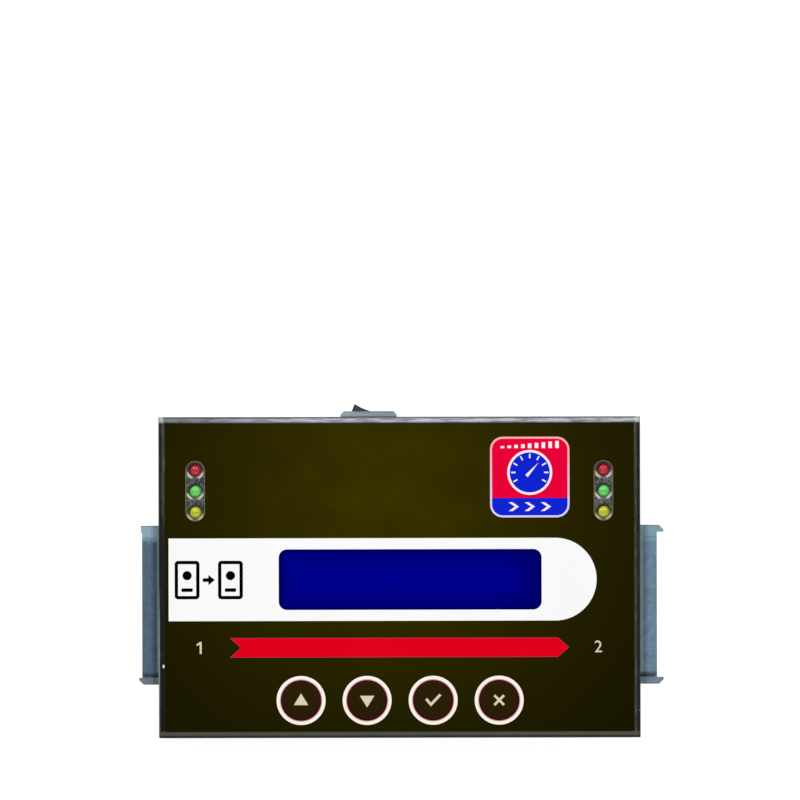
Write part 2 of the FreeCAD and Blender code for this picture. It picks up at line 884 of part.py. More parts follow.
def receptacle_contacts():
    """Each contact runs out of the housing's back, down to the board, and ends in a soldered foot."""
    leg_face = receptacle_back - contact_leg_gap
    top = board_top + slot_level + contact_lift
    contacts = []
    for y in contact_places():
        leg = centred_block(leg_face - contact_thickness / 2, y, contact_thickness, contact_width,
                            board_top, top)
        foot = centred_block(leg_face - contact_foot / 2, y, contact_foot, contact_width,
                             board_top, board_top + contact_thickness)
        contacts.append(joined([contact_blade(y, leg_face - contact_thickness), leg, foot]))
    return contacts


def on_side(shape, side):
    """Move a receptacle piece to its wall; the source side is the same part turned half round."""
    moved = shape.copy()
    if side == "source":
        moved.rotate(V(0, 0, 0), V(0, 0, 1), 180)
    return moved.translate(V(0, receptacle_y, 0))


# DC inlet

def dc_jack():
    body = centred_block(jack_x, jack_back_y + jack_depth / 2, jack_width, jack_depth,
                         board_top, board_top + jack_height)
    bore = along(V(jack_x, jack_face_y - jack_bore_depth, jack_z), V(0, 1, 0),
                 jack_bore_depth + overrun, jack_bore_radius)
    return body.cut([bore, jack_pin()])


def jack_pin():
    return along(V(jack_x, jack_back_y, jack_z), V(0, 1, 0), jack_depth - jack_pin_setback, jack_pin_radius)


def jack_tabs(grow, low, high):
    """Three solder tabs: one behind the pin, one under the barrel and one at the side."""
    middle = jack_back_y + jack_depth / 2
    side_x = jack_x + jack_width / 2 - jack_tab_thickness
    wide, thin = jack_tab_width + grow, jack_tab_thickness + grow
    return [
        centred_block(jack_x, jack_back_y + jack_tab_thickness, wide, thin, low, high),
        centred_block(jack_x, middle, wide, thin, low, high),
        centred_block(side_x, (jack_back_y + middle) / 2, thin, wide, low, high),
    ]


def dc_jack_contacts():
    return [jack_pin()] + jack_tabs(0, tail_bottom, board_top)


# Rocker switch

def rocker_housing():
    """A bezel outside the rear wall and an open box through it, with snap lugs behind the sheet."""
    bezel = block(rocker_x - rocker_bezel_half, rocker_x + rocker_bezel_half, half_depth, rocker_face_y,
                  rocker_z - rocker_bezel_half_z, rocker_z + rocker_bezel_half_z)
    face_edges = [e for e in bezel.Edges if e.BoundBox.YMin > rocker_face_y - tolerance]
    bezel = bezel.makeChamfer(rocker_bezel_chamfer, face_edges)
    body = block(rocker_x - rocker_body_half, rocker_x + rocker_body_half, rocker_back_y, half_depth,
                 rocker_z - rocker_body_half_z, rocker_z + rocker_body_half_z)
    lug_x = rocker_body_half + seat_clearance + rocker_lug_proud
    lugs = [block(min(rocker_x, rocker_x + s * lug_x), max(rocker_x, rocker_x + s * lug_x),
                  inner_y - seat_clearance - rocker_lug_length, inner_y - seat_clearance,
                  rocker_z - rocker_lug_width / 2, rocker_z + rocker_lug_width / 2) for s in (-1, 1)]
    cavity = block(rocker_x - rocker_opening_length / 2, rocker_x + rocker_opening_length / 2,
                   rocker_back_y + rocker_back_wall, rocker_face_y + overrun,
                   rocker_z - rocker_opening_height / 2, rocker_z + rocker_opening_height / 2)
    pivot = upright(rocker_x, pivot_y, rocker_z - rocker_body_half_z, rocker_z + rocker_body_half_z,
                    paddle_pin_radius + running_clearance)
    return joined([bezel, body] + lugs).cut([cavity, pivot] + rocker_terminals())


def paddle_outline():
    """Half of the paddle's section beside its pivot, from the ridge in its face to its stub."""
    crest = paddle_pivot_depth + paddle_half_length * math.tan(math.radians(paddle_tilt_deg))
    return [
        (0, paddle_pivot_depth), (paddle_half_length, crest),
        (paddle_half_length + paddle_waist_draft, crest - paddle_skirt_drop),
        (paddle_hub_radius, -paddle_pin_radius), (paddle_stub_width / 2, -paddle_pin_radius),
        (paddle_stub_width / 2, -paddle_stub_length),
    ]


def rocker_paddle():
    """The paddle at rest is tipped with its left end out, at one of its two stops."""
    right = paddle_outline()
    left = [(-x, y) for x, y in reversed(right[1:])]
    half_height = rocker_opening_height / 2 - paddle_side_gap
    paddle = prism_z(right + left, -half_height, half_height)
    ridge, crest = right[0], right[1]
    for side in (-1, 1):
        paddle = paddle.cut(hollow_of_face(ridge, crest, side, half_height))
    ends = [e for e in paddle.Edges if e.BoundBox.ZLength > half_height
            and abs(abs(e.BoundBox.Center.x) - crest[0]) < tolerance]
    paddle = paddle.makeFillet(paddle_edge, ends)
    pin_half = half_height + paddle_pin_reach
    paddle = paddle.fuse(upright(0, 0, -pin_half, pin_half, paddle_pin_radius)).removeSplitter()
    paddle.rotate(V(0, 0, 0), V(0, 0, 1), -paddle_tilt_deg)
    return paddle.translate(V(rocker_x, pivot_y, rocker_z))


def hollow_of_face(ridge, crest, side, half_height):
    """The shallow round hollow that a finger presses, across one half of the paddle's face."""
    start = V(ridge[0], ridge[1], -half_height - overrun)
    end = V(side * crest[0], crest[1], -half_height - overrun)
    inward = V(0, 0, 1).cross(end - start).normalize() * -side
    deepest = (start + end) / 2 + inward * paddle_hollow
    edges = [Part.Arc(start, deepest, end).toShape(), Part.makeLine(end, start)]
    return Part.Face(Part.Wire(edges)).extrude(V(0, 0, 2 * (half_height + overrun)))


def rocker_terminals():
    return [centred_block(rocker_x + s * terminal_pitch / 2, terminal_end_y + terminal_length / 2,
                          terminal_thickness, terminal_length,
                          rocker_z - terminal_width / 2, rocker_z + terminal_width / 2) for s in (-1, 1)]


def switch_leads():
    """Each lead leaves its terminal level, turns down in a quarter bend and drops to the connector."""
    leads = []
    for s in (-1, 1):
        x = rocker_x + s * terminal_pitch / 2
        level = along(V(x, terminal_end_y, rocker_z), V(0, -1, 0), lead_run, lead_radius)
        ring = Part.Circle(V(x, terminal_end_y - lead_run, rocker_z), V(0, 1, 0), lead_radius)
        centre = V(x, terminal_end_y - lead_run, rocker_z - lead_bend_radius)
        bend = Part.Face(Part.Wire(ring.toShape())).revolve(centre, V(1, 0, 0), 90)
        drop = upright(x, lead_drop_y, connector_top, rocker_z - lead_bend_radius, lead_radius)
        leads.append(joined([level, bend, drop]))
    return leads


def lead_connector():
    return centred_block(rocker_x, lead_drop_y, terminal_pitch + 2 * connector_margin, connector_depth,
                         board_top, connector_top)


# All pieces by name

pieces = {
    "top_cover": top_cover(),
    "base_tray": base_tray(),
    "case_screws": case_screws(),
    "rubber_feet": rubber_feet(),
    "overlay": overlay(),
    "display_window": display_window(),
    "display_gasket": display_gasket(),
    "lcd_bezel": lcd_bezel(),
    "lcd_glass": lcd_glass(),
    "lcd_backlight": lcd_backlight(),
    "lcd_contact_strips": lcd_contact_strips(),
    "lcd_board": lcd_board(),
    "lcd_header": lcd_header(),
    "lcd_header_pins": lcd_header_pins(),
    "lcd_spacers": lcd_spacers(),
    "lcd_screws": lcd_screws(),
    "main_board": main_board(),
    "board_standoffs": board_standoffs(),
    "board_screws": board_screws(),
    "processor_chip": processor_chip(),
    "heat_sink": heat_sink(),
    "memory_chips": memory_chips(),
    "firmware_chip": firmware_chip(),
    "crystal": crystal(),
    "capacitors": capacitors(),
    "power_coil": power_coil(),
    "chip_resistors": chip_resistors(),
    "led_leads": led_leads(),
    "led_spacers": led_spacers(),
    "dc_jack": dc_jack(),
    "dc_jack_contacts": dc_jack_contacts(),
    "rocker_housing": rocker_housing(),
    "rocker_paddle": rocker_paddle(),
    "rocker_terminals": rocker_terminals(),
    "switch_leads": switch_leads(),
    "lead_connector": lead_connector(),
}
for key_name, key_x in key_places():
    pieces["key_cap_" + key_name] = key_cap(key_x)
    pieces["key_plunger_" + key_name] = key_plunger(key_x)
    pieces["key_switch_" + key_name] = key_switch(key_x)
for side_name, colour_name, light_x, light_y in led_places():
    pieces["led_" + side_name + "_" + colour_name] = led(light_x, light_y)
contact_set = Part.makeCompound(receptacle_contacts())
for side_name, arm_reach, groove_end in (("source", arm_reach_source, 1), ("target", arm_reach_target, -1)):
    pieces[side_name + "_receptacle"] = on_side(receptacle(arm_reach, groove_end), side_name)
    pieces[side_name + "_contacts"] = on_side(contact_set, side_name).Solids

# The origin is the middle of the bounding box on the table
target_tip = receptacle_face + arm_reach_target
source_tip = receptacle_face + arm_reach_source
paddle_tip = pieces["rocker_paddle"].BoundBox.YMax
to_origin = V((source_tip - target_tip) / 2, (half_depth - paddle_tip) / 2, 0)

for node, shape in pieces.items():
    solids = shape if isinstance(shape, list) else [shape]
    placed = [s.copy().translate(to_origin) for group in solids for s in group.Solids]
    whole = placed[0] if len(placed) == 1 else Part.makeCompound(placed)
    whole.exportStep("parts/" + node + ".step")
    print(node, len(placed), "solids", round(sum(s.Volume for s in placed), 2), "mm3")
print(len(pieces), "nodes, origin offset", round(to_origin.x, 4), round(to_origin.y, 4))
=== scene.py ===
# %% [markdown]
# A pocket drive copier.
# The real object is a small black steel box. A drive plugs into each side, and four keys and a two-line
# display on top start the copy. The construction is already made and packed: this file only dresses it.
# We load it as a fixed frame, so that every print, lens and screw goes where the construction says.

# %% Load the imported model
import json
import math
from functools import partialmethod

import bmesh
import bpy
from mathutils import Matrix, Vector


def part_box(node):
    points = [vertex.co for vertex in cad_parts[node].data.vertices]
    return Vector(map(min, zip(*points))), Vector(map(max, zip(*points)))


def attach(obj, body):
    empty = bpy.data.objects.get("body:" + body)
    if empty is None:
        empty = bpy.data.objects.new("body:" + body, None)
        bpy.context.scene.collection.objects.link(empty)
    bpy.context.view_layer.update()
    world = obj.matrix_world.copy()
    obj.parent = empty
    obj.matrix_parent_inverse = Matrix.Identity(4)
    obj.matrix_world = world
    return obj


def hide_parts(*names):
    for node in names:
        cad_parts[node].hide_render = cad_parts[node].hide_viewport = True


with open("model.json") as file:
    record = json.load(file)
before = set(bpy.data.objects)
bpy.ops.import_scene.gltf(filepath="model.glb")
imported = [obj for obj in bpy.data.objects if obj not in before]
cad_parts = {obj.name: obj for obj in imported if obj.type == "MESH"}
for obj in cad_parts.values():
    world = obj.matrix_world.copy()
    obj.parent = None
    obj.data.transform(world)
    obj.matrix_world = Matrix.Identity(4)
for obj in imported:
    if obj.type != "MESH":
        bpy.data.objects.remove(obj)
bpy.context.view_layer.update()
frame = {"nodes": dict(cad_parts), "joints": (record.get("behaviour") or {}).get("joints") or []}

# %% [markdown]
# Working sizes.
# A maker draws a label in millimetres from the middle of the lid, so we do the same. One matrix carries such
# a drawing to the lid in metres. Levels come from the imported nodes, so a print always lies on its sheet.

# %% Where the drawings go
mm = 0.001


def measured(node):
    """The middle of a node's box in metres, and half its size in millimetres."""
    low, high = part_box(node)
    return (low + high) / 2, (high - low) / 2 / mm


case_centre, case_half = measured("top_cover")
lid_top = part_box("top_cover")[1].z
sheet_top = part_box("overlay")[1].z


def middle(node):
    """Where a node's middle falls in a drawing of the lid."""
    centre, _ = measured(node)
    return (centre - case_centre).xy / mm


def drawn_at(level, about=case_centre):
    """Carries a drawing in millimetres about an upright axis to a level in metres."""
    return Matrix.Translation((about.x, about.y, level)) @ Matrix.Scale(mm, 4)


print("case", [round(2 * v, 2) for v in case_half], "print level", round(sheet_top / mm, 3), "mm")

# %% [markdown]
# Shader maths as Python.
# A finish is easier to read as a formula than as a drawing of wires. A Signal is one socket, and arithmetic
# on it adds Math nodes. Wires are one node tree, and node() adds any other node to it: settings go in first,
# because they can change the sockets, and then the values or links. A Finish is the wires of one material.

# %% Signals and finishes
class Signal:
    def __init__(self, wires, socket):
        self.wires = wires
        self.socket = socket

    def maths(self, operation, *others):
        return self.wires.node("Math", {"operation": operation}, dict(enumerate((self, *others))))

    __add__ = __radd__ = partialmethod(maths, "ADD")
    __sub__ = partialmethod(maths, "SUBTRACT")
    __mul__ = __rmul__ = partialmethod(maths, "MULTIPLY")
    __truediv__ = partialmethod(maths, "DIVIDE")
    __pow__ = partialmethod(maths, "POWER")
    __abs__ = partialmethod(maths, "ABSOLUTE")
    lesser = partialmethod(maths, "MINIMUM")
    greater = partialmethod(maths, "MAXIMUM")

    def __rsub__(self, other):
        return self.wires.node("Math", {"operation": "SUBTRACT"}, {0: other, 1: self})

    def __neg__(self):
        return 0 - self

    def wrapped(self, period):
        return self.maths("PINGPONG", period / 2)

    def rising(self, low, high):
        """0 below low, 1 above high, and a smooth step between."""
        return self.wires.node("MapRange", {"interpolation_type": "SMOOTHSTEP"},
                               {"Value": self, "From Min": low, "From Max": high})


class Wires:
    def __init__(self, tree):
        self.tree = tree

    def feed(self, socket, value):
        if isinstance(value, Signal):
            self.tree.links.new(value.socket, socket)
        elif socket.type == "RGBA":
            socket.default_value = (*value, 1.0)
        else:
            socket.default_value = value

    def node(self, kind, settings, sockets, output=0):
        made = self.tree.nodes.new("ShaderNode" + kind)
        for key, value in settings.items():
            setattr(made, key, value)
        for key, value in sockets.items():
            self.feed(made.inputs[key], value)
        return Signal(self, made.outputs[output])


class Finish(Wires):
    def __init__(self, name, **fixed):
        self.material = bpy.data.materials.new(name)
        self.material.use_nodes = True
        super().__init__(self.material.node_tree)
        self.shader = self.tree.nodes["Principled BSDF"]
        for socket, value in fixed.items():
            self.set(socket.replace("_", " "), value)

    def set(self, socket, value):
        self.feed(self.shader.inputs[socket], value)
        return self

    def place(self, centre=(0, 0, 0), turn=0.0, stretch=(1, 1, 1)):
        """Object coordinates in millimetres, from a centre in metres, turned about the upright axis."""
        start = self.node("TexCoord", {}, {}, "Object")
        return self.node("Mapping", {"vector_type": "TEXTURE"}, {
            "Vector": start, "Location": tuple(centre), "Rotation": (0, 0, turn),
            "Scale": tuple(mm * s for s in stretch)})

    def axes(self, place):
        return [self.node("SeparateXYZ", {}, {"Vector": place}, axis) for axis in "XYZ"]

    def about(self, node):
        """Millimetres from the middle of a node's box: as one link, and along x, y and z."""
        place = self.place(measured(node)[0])
        return [place, *self.axes(place)]

    def noise(self, place, per_mm, detail=2.0, rough=0.5):
        return self.node("TexNoise", {}, {
            "Vector": place, "Scale": per_mm, "Detail": detail, "Roughness": rough}, "Fac")

    def blend(self, share, first, second):
        return self.node("Mix", {"data_type": "RGBA"}, {0: share, 6: first, 7: second}, 2)

    def layered(self, paint, layers):
        """Lays one colour after another over a paint, each as far as its share goes."""
        for share, colour in layers:
            paint = self.blend(share, paint, colour)
        return paint

    def bump(self, height, depth_mm, strength=1.0):
        self.set("Normal", self.node("Bump", {}, {
            "Height": height, "Distance": depth_mm * mm, "Strength": strength}, "Normal"))
        return self


def tone(red, green, blue):
    """A display colour, 0 to 255, as the linear colour that a shader takes."""
    shares = [c / 255 for c in (red, green, blue)]
    return tuple(s / 12.92 if s <= 0.04045 else ((s + 0.055) / 1.055) ** 2.4 for s in shares)


def scaled(colour, factor):
    return tuple(min(1.0, c * factor) for c in colour)


print("display colour 128 is linear", round(tone(128, 128, 128)[0], 3))

# %% [markdown]
# Light and view.
# The object lies on a white table and is seen from straight above, with no perspective, so an orthographic
# camera is true to it; it is turned by a hair, because the object doesn't lie quite square. Two softboxes
# behind light the rear fold of the lid and leave two small highlights in each round light, a weaker one in
# front fills, and a small lamp high above gives the dark label its brighter middle. Table and room are plain
# white to the camera and in reflections; diffuse light from the room is weaker, so that colours render as
# they are written.

# %% Camera
view_width = 199.25
view_x = 0.13
view_y = 44.15
view_turn = math.radians(0.12)
camera_height = 500


def put(name, data):
    thing = bpy.data.objects.new(name, data)
    bpy.context.scene.collection.objects.link(thing)
    return thing


camera = put("camera", bpy.data.cameras.new("camera"))
camera.data.type = "ORTHO"
camera.data.ortho_scale = view_width * mm
away = Matrix.Rotation(-view_turn, 3, "Z") @ Vector((view_x, view_y, camera_height)) * mm
camera.location = (case_centre.x + away.x, case_centre.y + away.y, away.z)
camera.rotation_euler.z = -view_turn
bpy.context.scene.camera = camera
bpy.context.scene.view_settings.view_transform = "Standard"
print("camera above", [round(v, 4) for v in camera.location])

# %% Room light, table and lamps
room_light = 0.42
table_glow = 0.8
table_half = 3.0


def seen_white(wires, otherwise, seen):
    """What camera, mirror and glass rays see, and otherwise what the rays that light find."""
    camera, mirror, glass = [wires.node("LightPath", {}, {}, f"Is {ray} Ray")
                             for ray in ("Camera", "Glossy", "Transmission")]
    return wires.node("MapRange", {}, {
        "Value": camera.greater(mirror).greater(glass), "To Min": otherwise, "To Max": seen})


world = bpy.data.worlds.new("white_room")
world.use_nodes = True
room = Wires(world.node_tree)
sky = room.tree.nodes["Background"].inputs
room.feed(sky["Color"], (1, 1, 1))
room.feed(sky["Strength"], seen_white(room, room_light, 1.0))
bpy.context.scene.world = world

table_paint = Finish("table_white", Base_Color=(0.62, 0.62, 0.62), Roughness=0.9, Specular_IOR_Level=0.0)
table_paint.set("Emission Color", (1, 1, 1))
table_paint.set("Emission Strength", seen_white(table_paint, 0.0, table_glow))
bm = bmesh.new()
bmesh.ops.create_grid(bm, x_segments=1, y_segments=1, size=table_half)
table_mesh = bpy.data.meshes.new("table")
bm.to_mesh(table_mesh)
bm.free()
table_mesh.materials.append(table_paint.material)
table = put("table", table_mesh)


def softbox(name, place, aim, size, share):
    """An area lamp whose light on a level surface at its aim is a share of full white."""
    lamp = put(name, bpy.data.lights.new(name, "AREA"))
    lamp.data.shape = "RECTANGLE"
    lamp.data.size, lamp.data.size_y = size
    beam = Vector(aim) - Vector(place)
    lamp.location = place
    lamp.rotation_mode = "QUATERNION"
    lamp.rotation_quaternion = beam.to_track_quat("-Z", "Y")
    slope = abs(beam.z) / beam.length
    lamp.data.energy = share * math.pi ** 2 * beam.length_squared / slope
    lamp.visible_camera = False
    print(name, round(lamp.data.energy, 3), "W")


lid_middle = (case_centre.x, case_centre.y, lid_top)
softbox("rear_left_softbox", (-0.32, 0.46, 0.42), lid_middle, (0.2, 0.18), 0.17)
softbox("rear_right_softbox", (0.3, 0.46, 0.42), lid_middle, (0.2, 0.18), 0.13)
softbox("front_softbox", (0.1, -0.6, 0.35), lid_middle, (0.22, 0.12), 0.06)
softbox("top_lamp", (-0.003, 0.018, 0.42), (-0.003, 0.018, lid_top), (0.05, 0.05), 0.25)

# %% [markdown]
# Black powder coat.
# Powder coat is sprayed dry and baked, which leaves a fine skin like an orange's. Rubbed folds turn paler and
# smoother, and a knock can chip them to the steel. The rub follows how near a point is to an edge of the
# folded box, which a little arithmetic on its coordinates gives on any mesh, without a painted map. Light and
# shade are painted on the folds as well: painted shade darkens them, and painted highlights pale the side
# and front folds and, most of all, the rear fold. Painted glints mark the two rear corners and the lower
# corners of the six light holes' countersinks.

# %% Powder coat
light_nodes = sorted(name for name in frame["nodes"] if name.startswith("led_") and name.count("_") == 2)
chamfer_radius = 2.05
slot_size = (4.8, 15.0)
knock_place = (-58.8, -22.1)


def near_edge(axes, half, reach):
    """1 on the edges of a box about the origin, falling to 0 at a reach from them, all in millimetres."""
    deep = [h - abs(axis) for axis, h in zip(axes, half)]
    second = deep[0].lesser(deep[1]).greater(deep[0].greater(deep[1]).lesser(deep[2]))
    return 1 - second.rising(0.0, reach)


def towards(axis, half, start, full):
    """0 up to start millimetres short of a side that is half away, and 1 from full short of it."""
    return axis.rising(half - start, half - full)


def countersinks(x, y):
    """Shares of plain metal round the light holes, and of a painted highlight on their lower corners."""
    plain = painted_glint = 0 * x
    for node in light_nodes:
        spot = middle(node)
        radius = ((x - spot.x) ** 2 + (y - spot.y) ** 2) ** 0.5
        ring = 1 - radius.rising(chamfer_radius - 0.08, chamfer_radius + 0.02)
        lower = ((spot.y - y) / radius).rising(0.0, 0.6)
        sideways = (abs(x - spot.x) / radius).rising(0.15, 0.6)
        plain = plain.greater(ring)
        glint_reach = 1 - radius.rising(chamfer_radius + 0.1, chamfer_radius + 0.4)
        painted_glint = painted_glint.greater(glint_reach * lower * (0.1 + sideways * 0.9))
    return plain, painted_glint


def light_slots(x, y):
    """1 on the lid where the label leaves its two slots open for the lights."""
    spot = middle("led_target_green")
    across = abs(abs(x) - spot.x).rising(slot_size[0] / 2 + 0.1, slot_size[0] / 2 + 0.3)
    along = abs(y - spot.y).rising(slot_size[1] / 2 + 0.1, slot_size[1] / 2 + 0.3)
    return (1 - across) * (1 - along)


def powder_coat():
    coat = Finish("powder_coat_finish", Specular_IOR_Level=0.08)
    spot, x, y, z = coat.about("top_cover")
    half_x, half_y, half_z = case_half
    peel = coat.noise(spot, 3.4, 2.0) * 0.65 + coat.noise(spot, 9.0, 1.0) * 0.35
    patchy = coat.noise(spot, 0.35, 3.0)
    cloud = coat.noise(spot, 0.05, 3.0) * 0.4 + coat.noise(spot, 1.7, 3.0) * 0.6
    side_highlight_streaks = coat.noise(coat.place(case_centre, stretch=(1, 7, 7)), 1.6, 2.0).rising(0.5, 0.64)
    rear_highlight = coat.noise(coat.place(case_centre, stretch=(9, 1, 1)), 2.2, 2.0).rising(0.36, 0.6)
    rear_highlight = (0.45 + rear_highlight * 0.55) * (0.36 + x.rising(-64, -12) * 0.64)
    edge = near_edge((x, y, z), case_half, 1.5)
    rub = edge * patchy.rising(0.4, 0.75)
    chip = edge.rising(0.6, 0.9) * coat.noise(spot, 1.1, 2.0).rising(0.78, 0.8)

    # Painted shade: the fold share darkens the tops of the folds, where they turn away from the light.
    fold = towards(z, half_z, 1.2, 0.7)
    # Painted highlights: pale bands on the side folds, along the outer left edge, on the front fold and,
    # palest, on the rear fold; the edge shades leave their outer rims dark.
    side_highlight = towards(abs(x), half_x, 1.8, 1.5) * (1 - towards(abs(x), half_x, 1.0, 0.6))
    side_highlight = side_highlight * towards(z, half_z, 0.8, 0.4) * (x.rising(-1, 1) * 0.75).greater(y.rising(6, 26))
    rear = towards(y, half_y, 1.7, 1.05) * fold
    front = towards(-y, half_y, 1.8, 1.45) * fold
    rear_edge_shade = towards(y, half_y, 0.65, 0.15)
    front_edge_shade = towards(-y, half_y, 0.8, 0.45)
    left_edge_highlight = towards(-x, half_x, 0.4, 0.15) * towards(z, half_z, 1.5, 1.2) * (-y).rising(0, 16)
    # Painted glint: the two rear corners of the lid are paled.
    corner = rear * towards(abs(x), half_x, 1.5, 0.9)
    knock = ((x - knock_place[0]) ** 2 + ((y - knock_place[1]) * 0.6) ** 2) ** 0.5
    knocked = (1 - knock.rising(0.22, 0.3)) * towards(z, half_z, 1.3, 1.0)

    top = towards(z, half_z, 2.2, 1.8)
    mottling = coat.noise(spot, 1.8, 2.0).rising(0.36, 0.64)
    mottled = coat.blend(mottling, tone(40, 46, 44), tone(94, 100, 96))
    # Painted highlight: the lower corners of the countersinks are laid as bright bare metal, together with the
    # real chips.
    plain, painted_glint = [share * top for share in countersinks(x, y)]
    bare_metal_and_glint = chip.greater(painted_glint * 0.8).greater(knocked)

    paint = coat.blend(cloud.rising(0.3, 0.7), tone(8, 11, 10), tone(38, 42, 40))
    coat.set("Base Color", coat.layered(paint, [
        (fold * 0.6, tone(4, 6, 5)),
        (rub * 0.3, tone(62, 66, 62)),
        (side_highlight * (0.35 + side_highlight_streaks * 0.4), tone(92, 95, 86)),
        (left_edge_highlight * (0.3 + patchy * 0.8), tone(168, 172, 164)),
        (front * (0.6 + patchy * 0.5) * (1 - front_edge_shade * 0.85), tone(86, 84, 75)),
        (rear * rear_highlight * (1 - rear_edge_shade * 0.75), tone(188, 188, 201)),
        (corner * 0.7, tone(196, 200, 196)),
        (light_slots(x, y) * top, mottled),
        (plain * 0.5, tone(58, 60, 56)),
        (bare_metal_and_glint, tone(206, 202, 190))]))
    coat.set("Metallic", bare_metal_and_glint * 0.3)
    coat.set("Roughness", 0.44 + cloud * 0.08 - rub * 0.1)
    return coat.bump(peel, 0.03, 0.8)


finishes = {"powder_coat": powder_coat()}
print(len(light_nodes), "light holes in", finishes["powder_coat"].material.name)

# %% [markdown]
# The printed label.
# The lid wears one sheet of velvet-textured film, printed from behind in a very dark olive. Film like this
# has hardly any shine of its own: what there is takes the ink's colour. The inks over it are thin layers with
# the film's own grain, so they share a recipe: a colour, slightly uneven as screen print is.

# %% Film and inks
def film(name, colour, shine=0.1, gloss=0.36, **fixed):
    ink = Finish(name, Specular_IOR_Level=shine, **fixed)
    grain = ink.place()
    uneven = ink.noise(grain, 0.06, 3.0) * 0.6 + ink.noise(grain, 2.5, 2.0) * 0.4
    ink.set("Base Color", ink.blend(uneven, scaled(colour, 0.93), scaled(colour, 1.06)))
    ink.set("Roughness", gloss + ink.noise(grain, 0.12, 2.0) * 0.06)
    return ink.bump(ink.noise(grain, 7.0, 1.0), 0.004, 0.5)


finishes["overlay_print"] = film("olive_film", tone(10, 9, 1), 0.038, 0.235, Specular_Tint=(1.0, 0.78, 0.0))
finishes["key_plastic"] = film("key_cap_face", tone(38, 26, 6), 0.03, 0.5, Specular_Tint=(1.0, 0.7, 0.1))
rim_red = film("key_rim_red", tone(54, 6, 12), shine=0.04)
ring_pink = film("ring_pink", tone(226, 158, 166))
legend_ink = film("legend_ink", tone(216, 206, 182))
symbol_ink = film("symbol_ink", tone(40, 36, 20))
white_ink = film("white_ink", (0.925, 0.925, 0.925))
cream_ink = film("cream_ink", tone(249, 245, 232))
red_ink = film("red_ink", tone(222, 0, 27), Specular_Tint=(1.0, 0.0, 0.1))
dark_red_ink = film("dark_red_ink", tone(156, 38, 44))
badge_red_ink = film("badge_red_ink", tone(228, 2, 52), Specular_Tint=(1.0, 0.0, 0.2))
blue_ink = film("blue_ink", tone(14, 34, 204), Specular_Tint=(0.0, 0.1, 1.0))
badge_white_ink = film("badge_white_ink", tone(250, 232, 240))
film_edge = film("film_cut_edge", tone(122, 116, 92))
print("inks ready on", finishes["overlay_print"].material.name)

# %% [markdown]
# The display.
# Behind a smoked navy lens, flush with the lid, sits a blue display lit from behind. The lens is a thin film
# of colour over a clear sheet, so it is made partly see-through, and the real glass glows below it. The glow
# is painted darker towards the frame, as the frame's shadow together with the end of the light guide, and
# darker at its right end; it shows two faint rows of sixteen cells.

# %% Lens and glass
lens_rim = 0.9
view_half = [half - lens_rim for half in measured("display_window")[1].xy]
cell_columns = 16
cell_rows = 2
cell_pitch = (3.55, 5.95)


def display_lens():
    lens = Finish("smoked_lens", Specular_IOR_Level=0.03, Specular_Tint=(0.0, 0.0, 1.0), Alpha=0.3)
    grain = lens.place()
    lens.set("Base Color", lens.blend(lens.noise(grain, 0.08, 2.0), (0.0, 0.0, 0.006), (0.0, 0.0, 0.012)))
    lens.set("Roughness", 0.3 + lens.noise(grain, 0.4, 3.0) * 0.1)
    return lens.bump(lens.noise(grain, 0.05, 1.0), 0.02, 0.3)


def display_glass():
    glass = Finish("blue_display", Specular_IOR_Level=0.1, Roughness=0.3, Specular_Tint=(0.0, 0.0, 1.0))
    _, x, y, _ = glass.about("display_window")
    inside = (view_half[0] - abs(x)).lesser(view_half[1] - abs(y))
    # Painted shade: the glow dims towards the frame, standing for the frame's shadow with the light guide's
    # falloff, and at its right end.
    frame_shade_and_falloff = 0.28 + 0.4 * inside.rising(-0.5, 1.8) + 0.32 * inside.rising(0.0, 7.5)
    frame_shade_and_falloff = frame_shade_and_falloff * (1 - 0.27 * x.rising(view_half[0] - 13, view_half[0]))
    gap_x = (x + cell_pitch[0] * cell_columns).wrapped(cell_pitch[0])
    gap_y = (y + cell_pitch[1] * cell_rows).wrapped(cell_pitch[1])
    cell = gap_x.rising(0.25, 0.4) * gap_y.rising(0.3, 0.5)
    lit = (cell_pitch[0] * cell_columns / 2 - abs(x)).lesser(cell_pitch[1] * cell_rows / 2 - abs(y))
    level = frame_shade_and_falloff * (1 - 0.05 * cell * lit.rising(0.0, 0.1))
    glass.set("Base Color", (0.0, 0.0, 0.02))
    glass.set("Emission Color", glass.blend(level, (0.0, 0.0, 0.0), (0.0, 0.0, 0.52)))
    return glass.set("Emission Strength", 1.0)


for recipe in (display_lens, display_glass):
    finishes[recipe.__name__] = recipe()
print("display view", [round(2 * v, 2) for v in view_half], "mm")

# %% [markdown]
# Plastics, rubbers and metals.
# Most hidden pieces are moulded, turned or stamped, and differ in a few numbers: colour, grain, shine. Two
# recipes make them. A moulding has flow clouds in its colour and the fine spark-eroded grain of its tool. A
# metal has brushing drawn out along one direction, and a tarnish that dulls it in patches.

# %% Moulded and metal recipes
def moulded(name, colour, rough=0.45, grain=4.0, depth=0.02, clouds=0.12, **fixed):
    part = Finish(name, **fixed)
    spot = part.place()
    flow = part.noise(spot, 0.22, 3.0) * 0.7 + part.noise(spot, 1.3, 2.0) * 0.3
    part.set("Base Color", part.blend(flow, scaled(colour, 1 - clouds), scaled(colour, 1 + clouds)))
    part.set("Roughness", rough + (flow - 0.5) * 0.15)
    return part.bump(part.noise(spot, grain, 2.0), depth, 0.6)


def metal(name, colour, rough=0.3, brushed=(1, 8, 1), depth=0.006):
    part = Finish(name, Metallic=1.0)
    lines = part.noise(part.place(stretch=brushed), 4.0, 3.0, 0.6)
    tarnish = part.noise(part.place(), 0.3, 3.0).rising(0.35, 0.8)
    part.set("Base Color", part.blend(tarnish, colour, scaled(colour, 0.78)))
    part.set("Roughness", rough + tarnish * 0.15 + (lines - 0.5) * 0.12)
    return part.bump(lines, depth, 0.7)


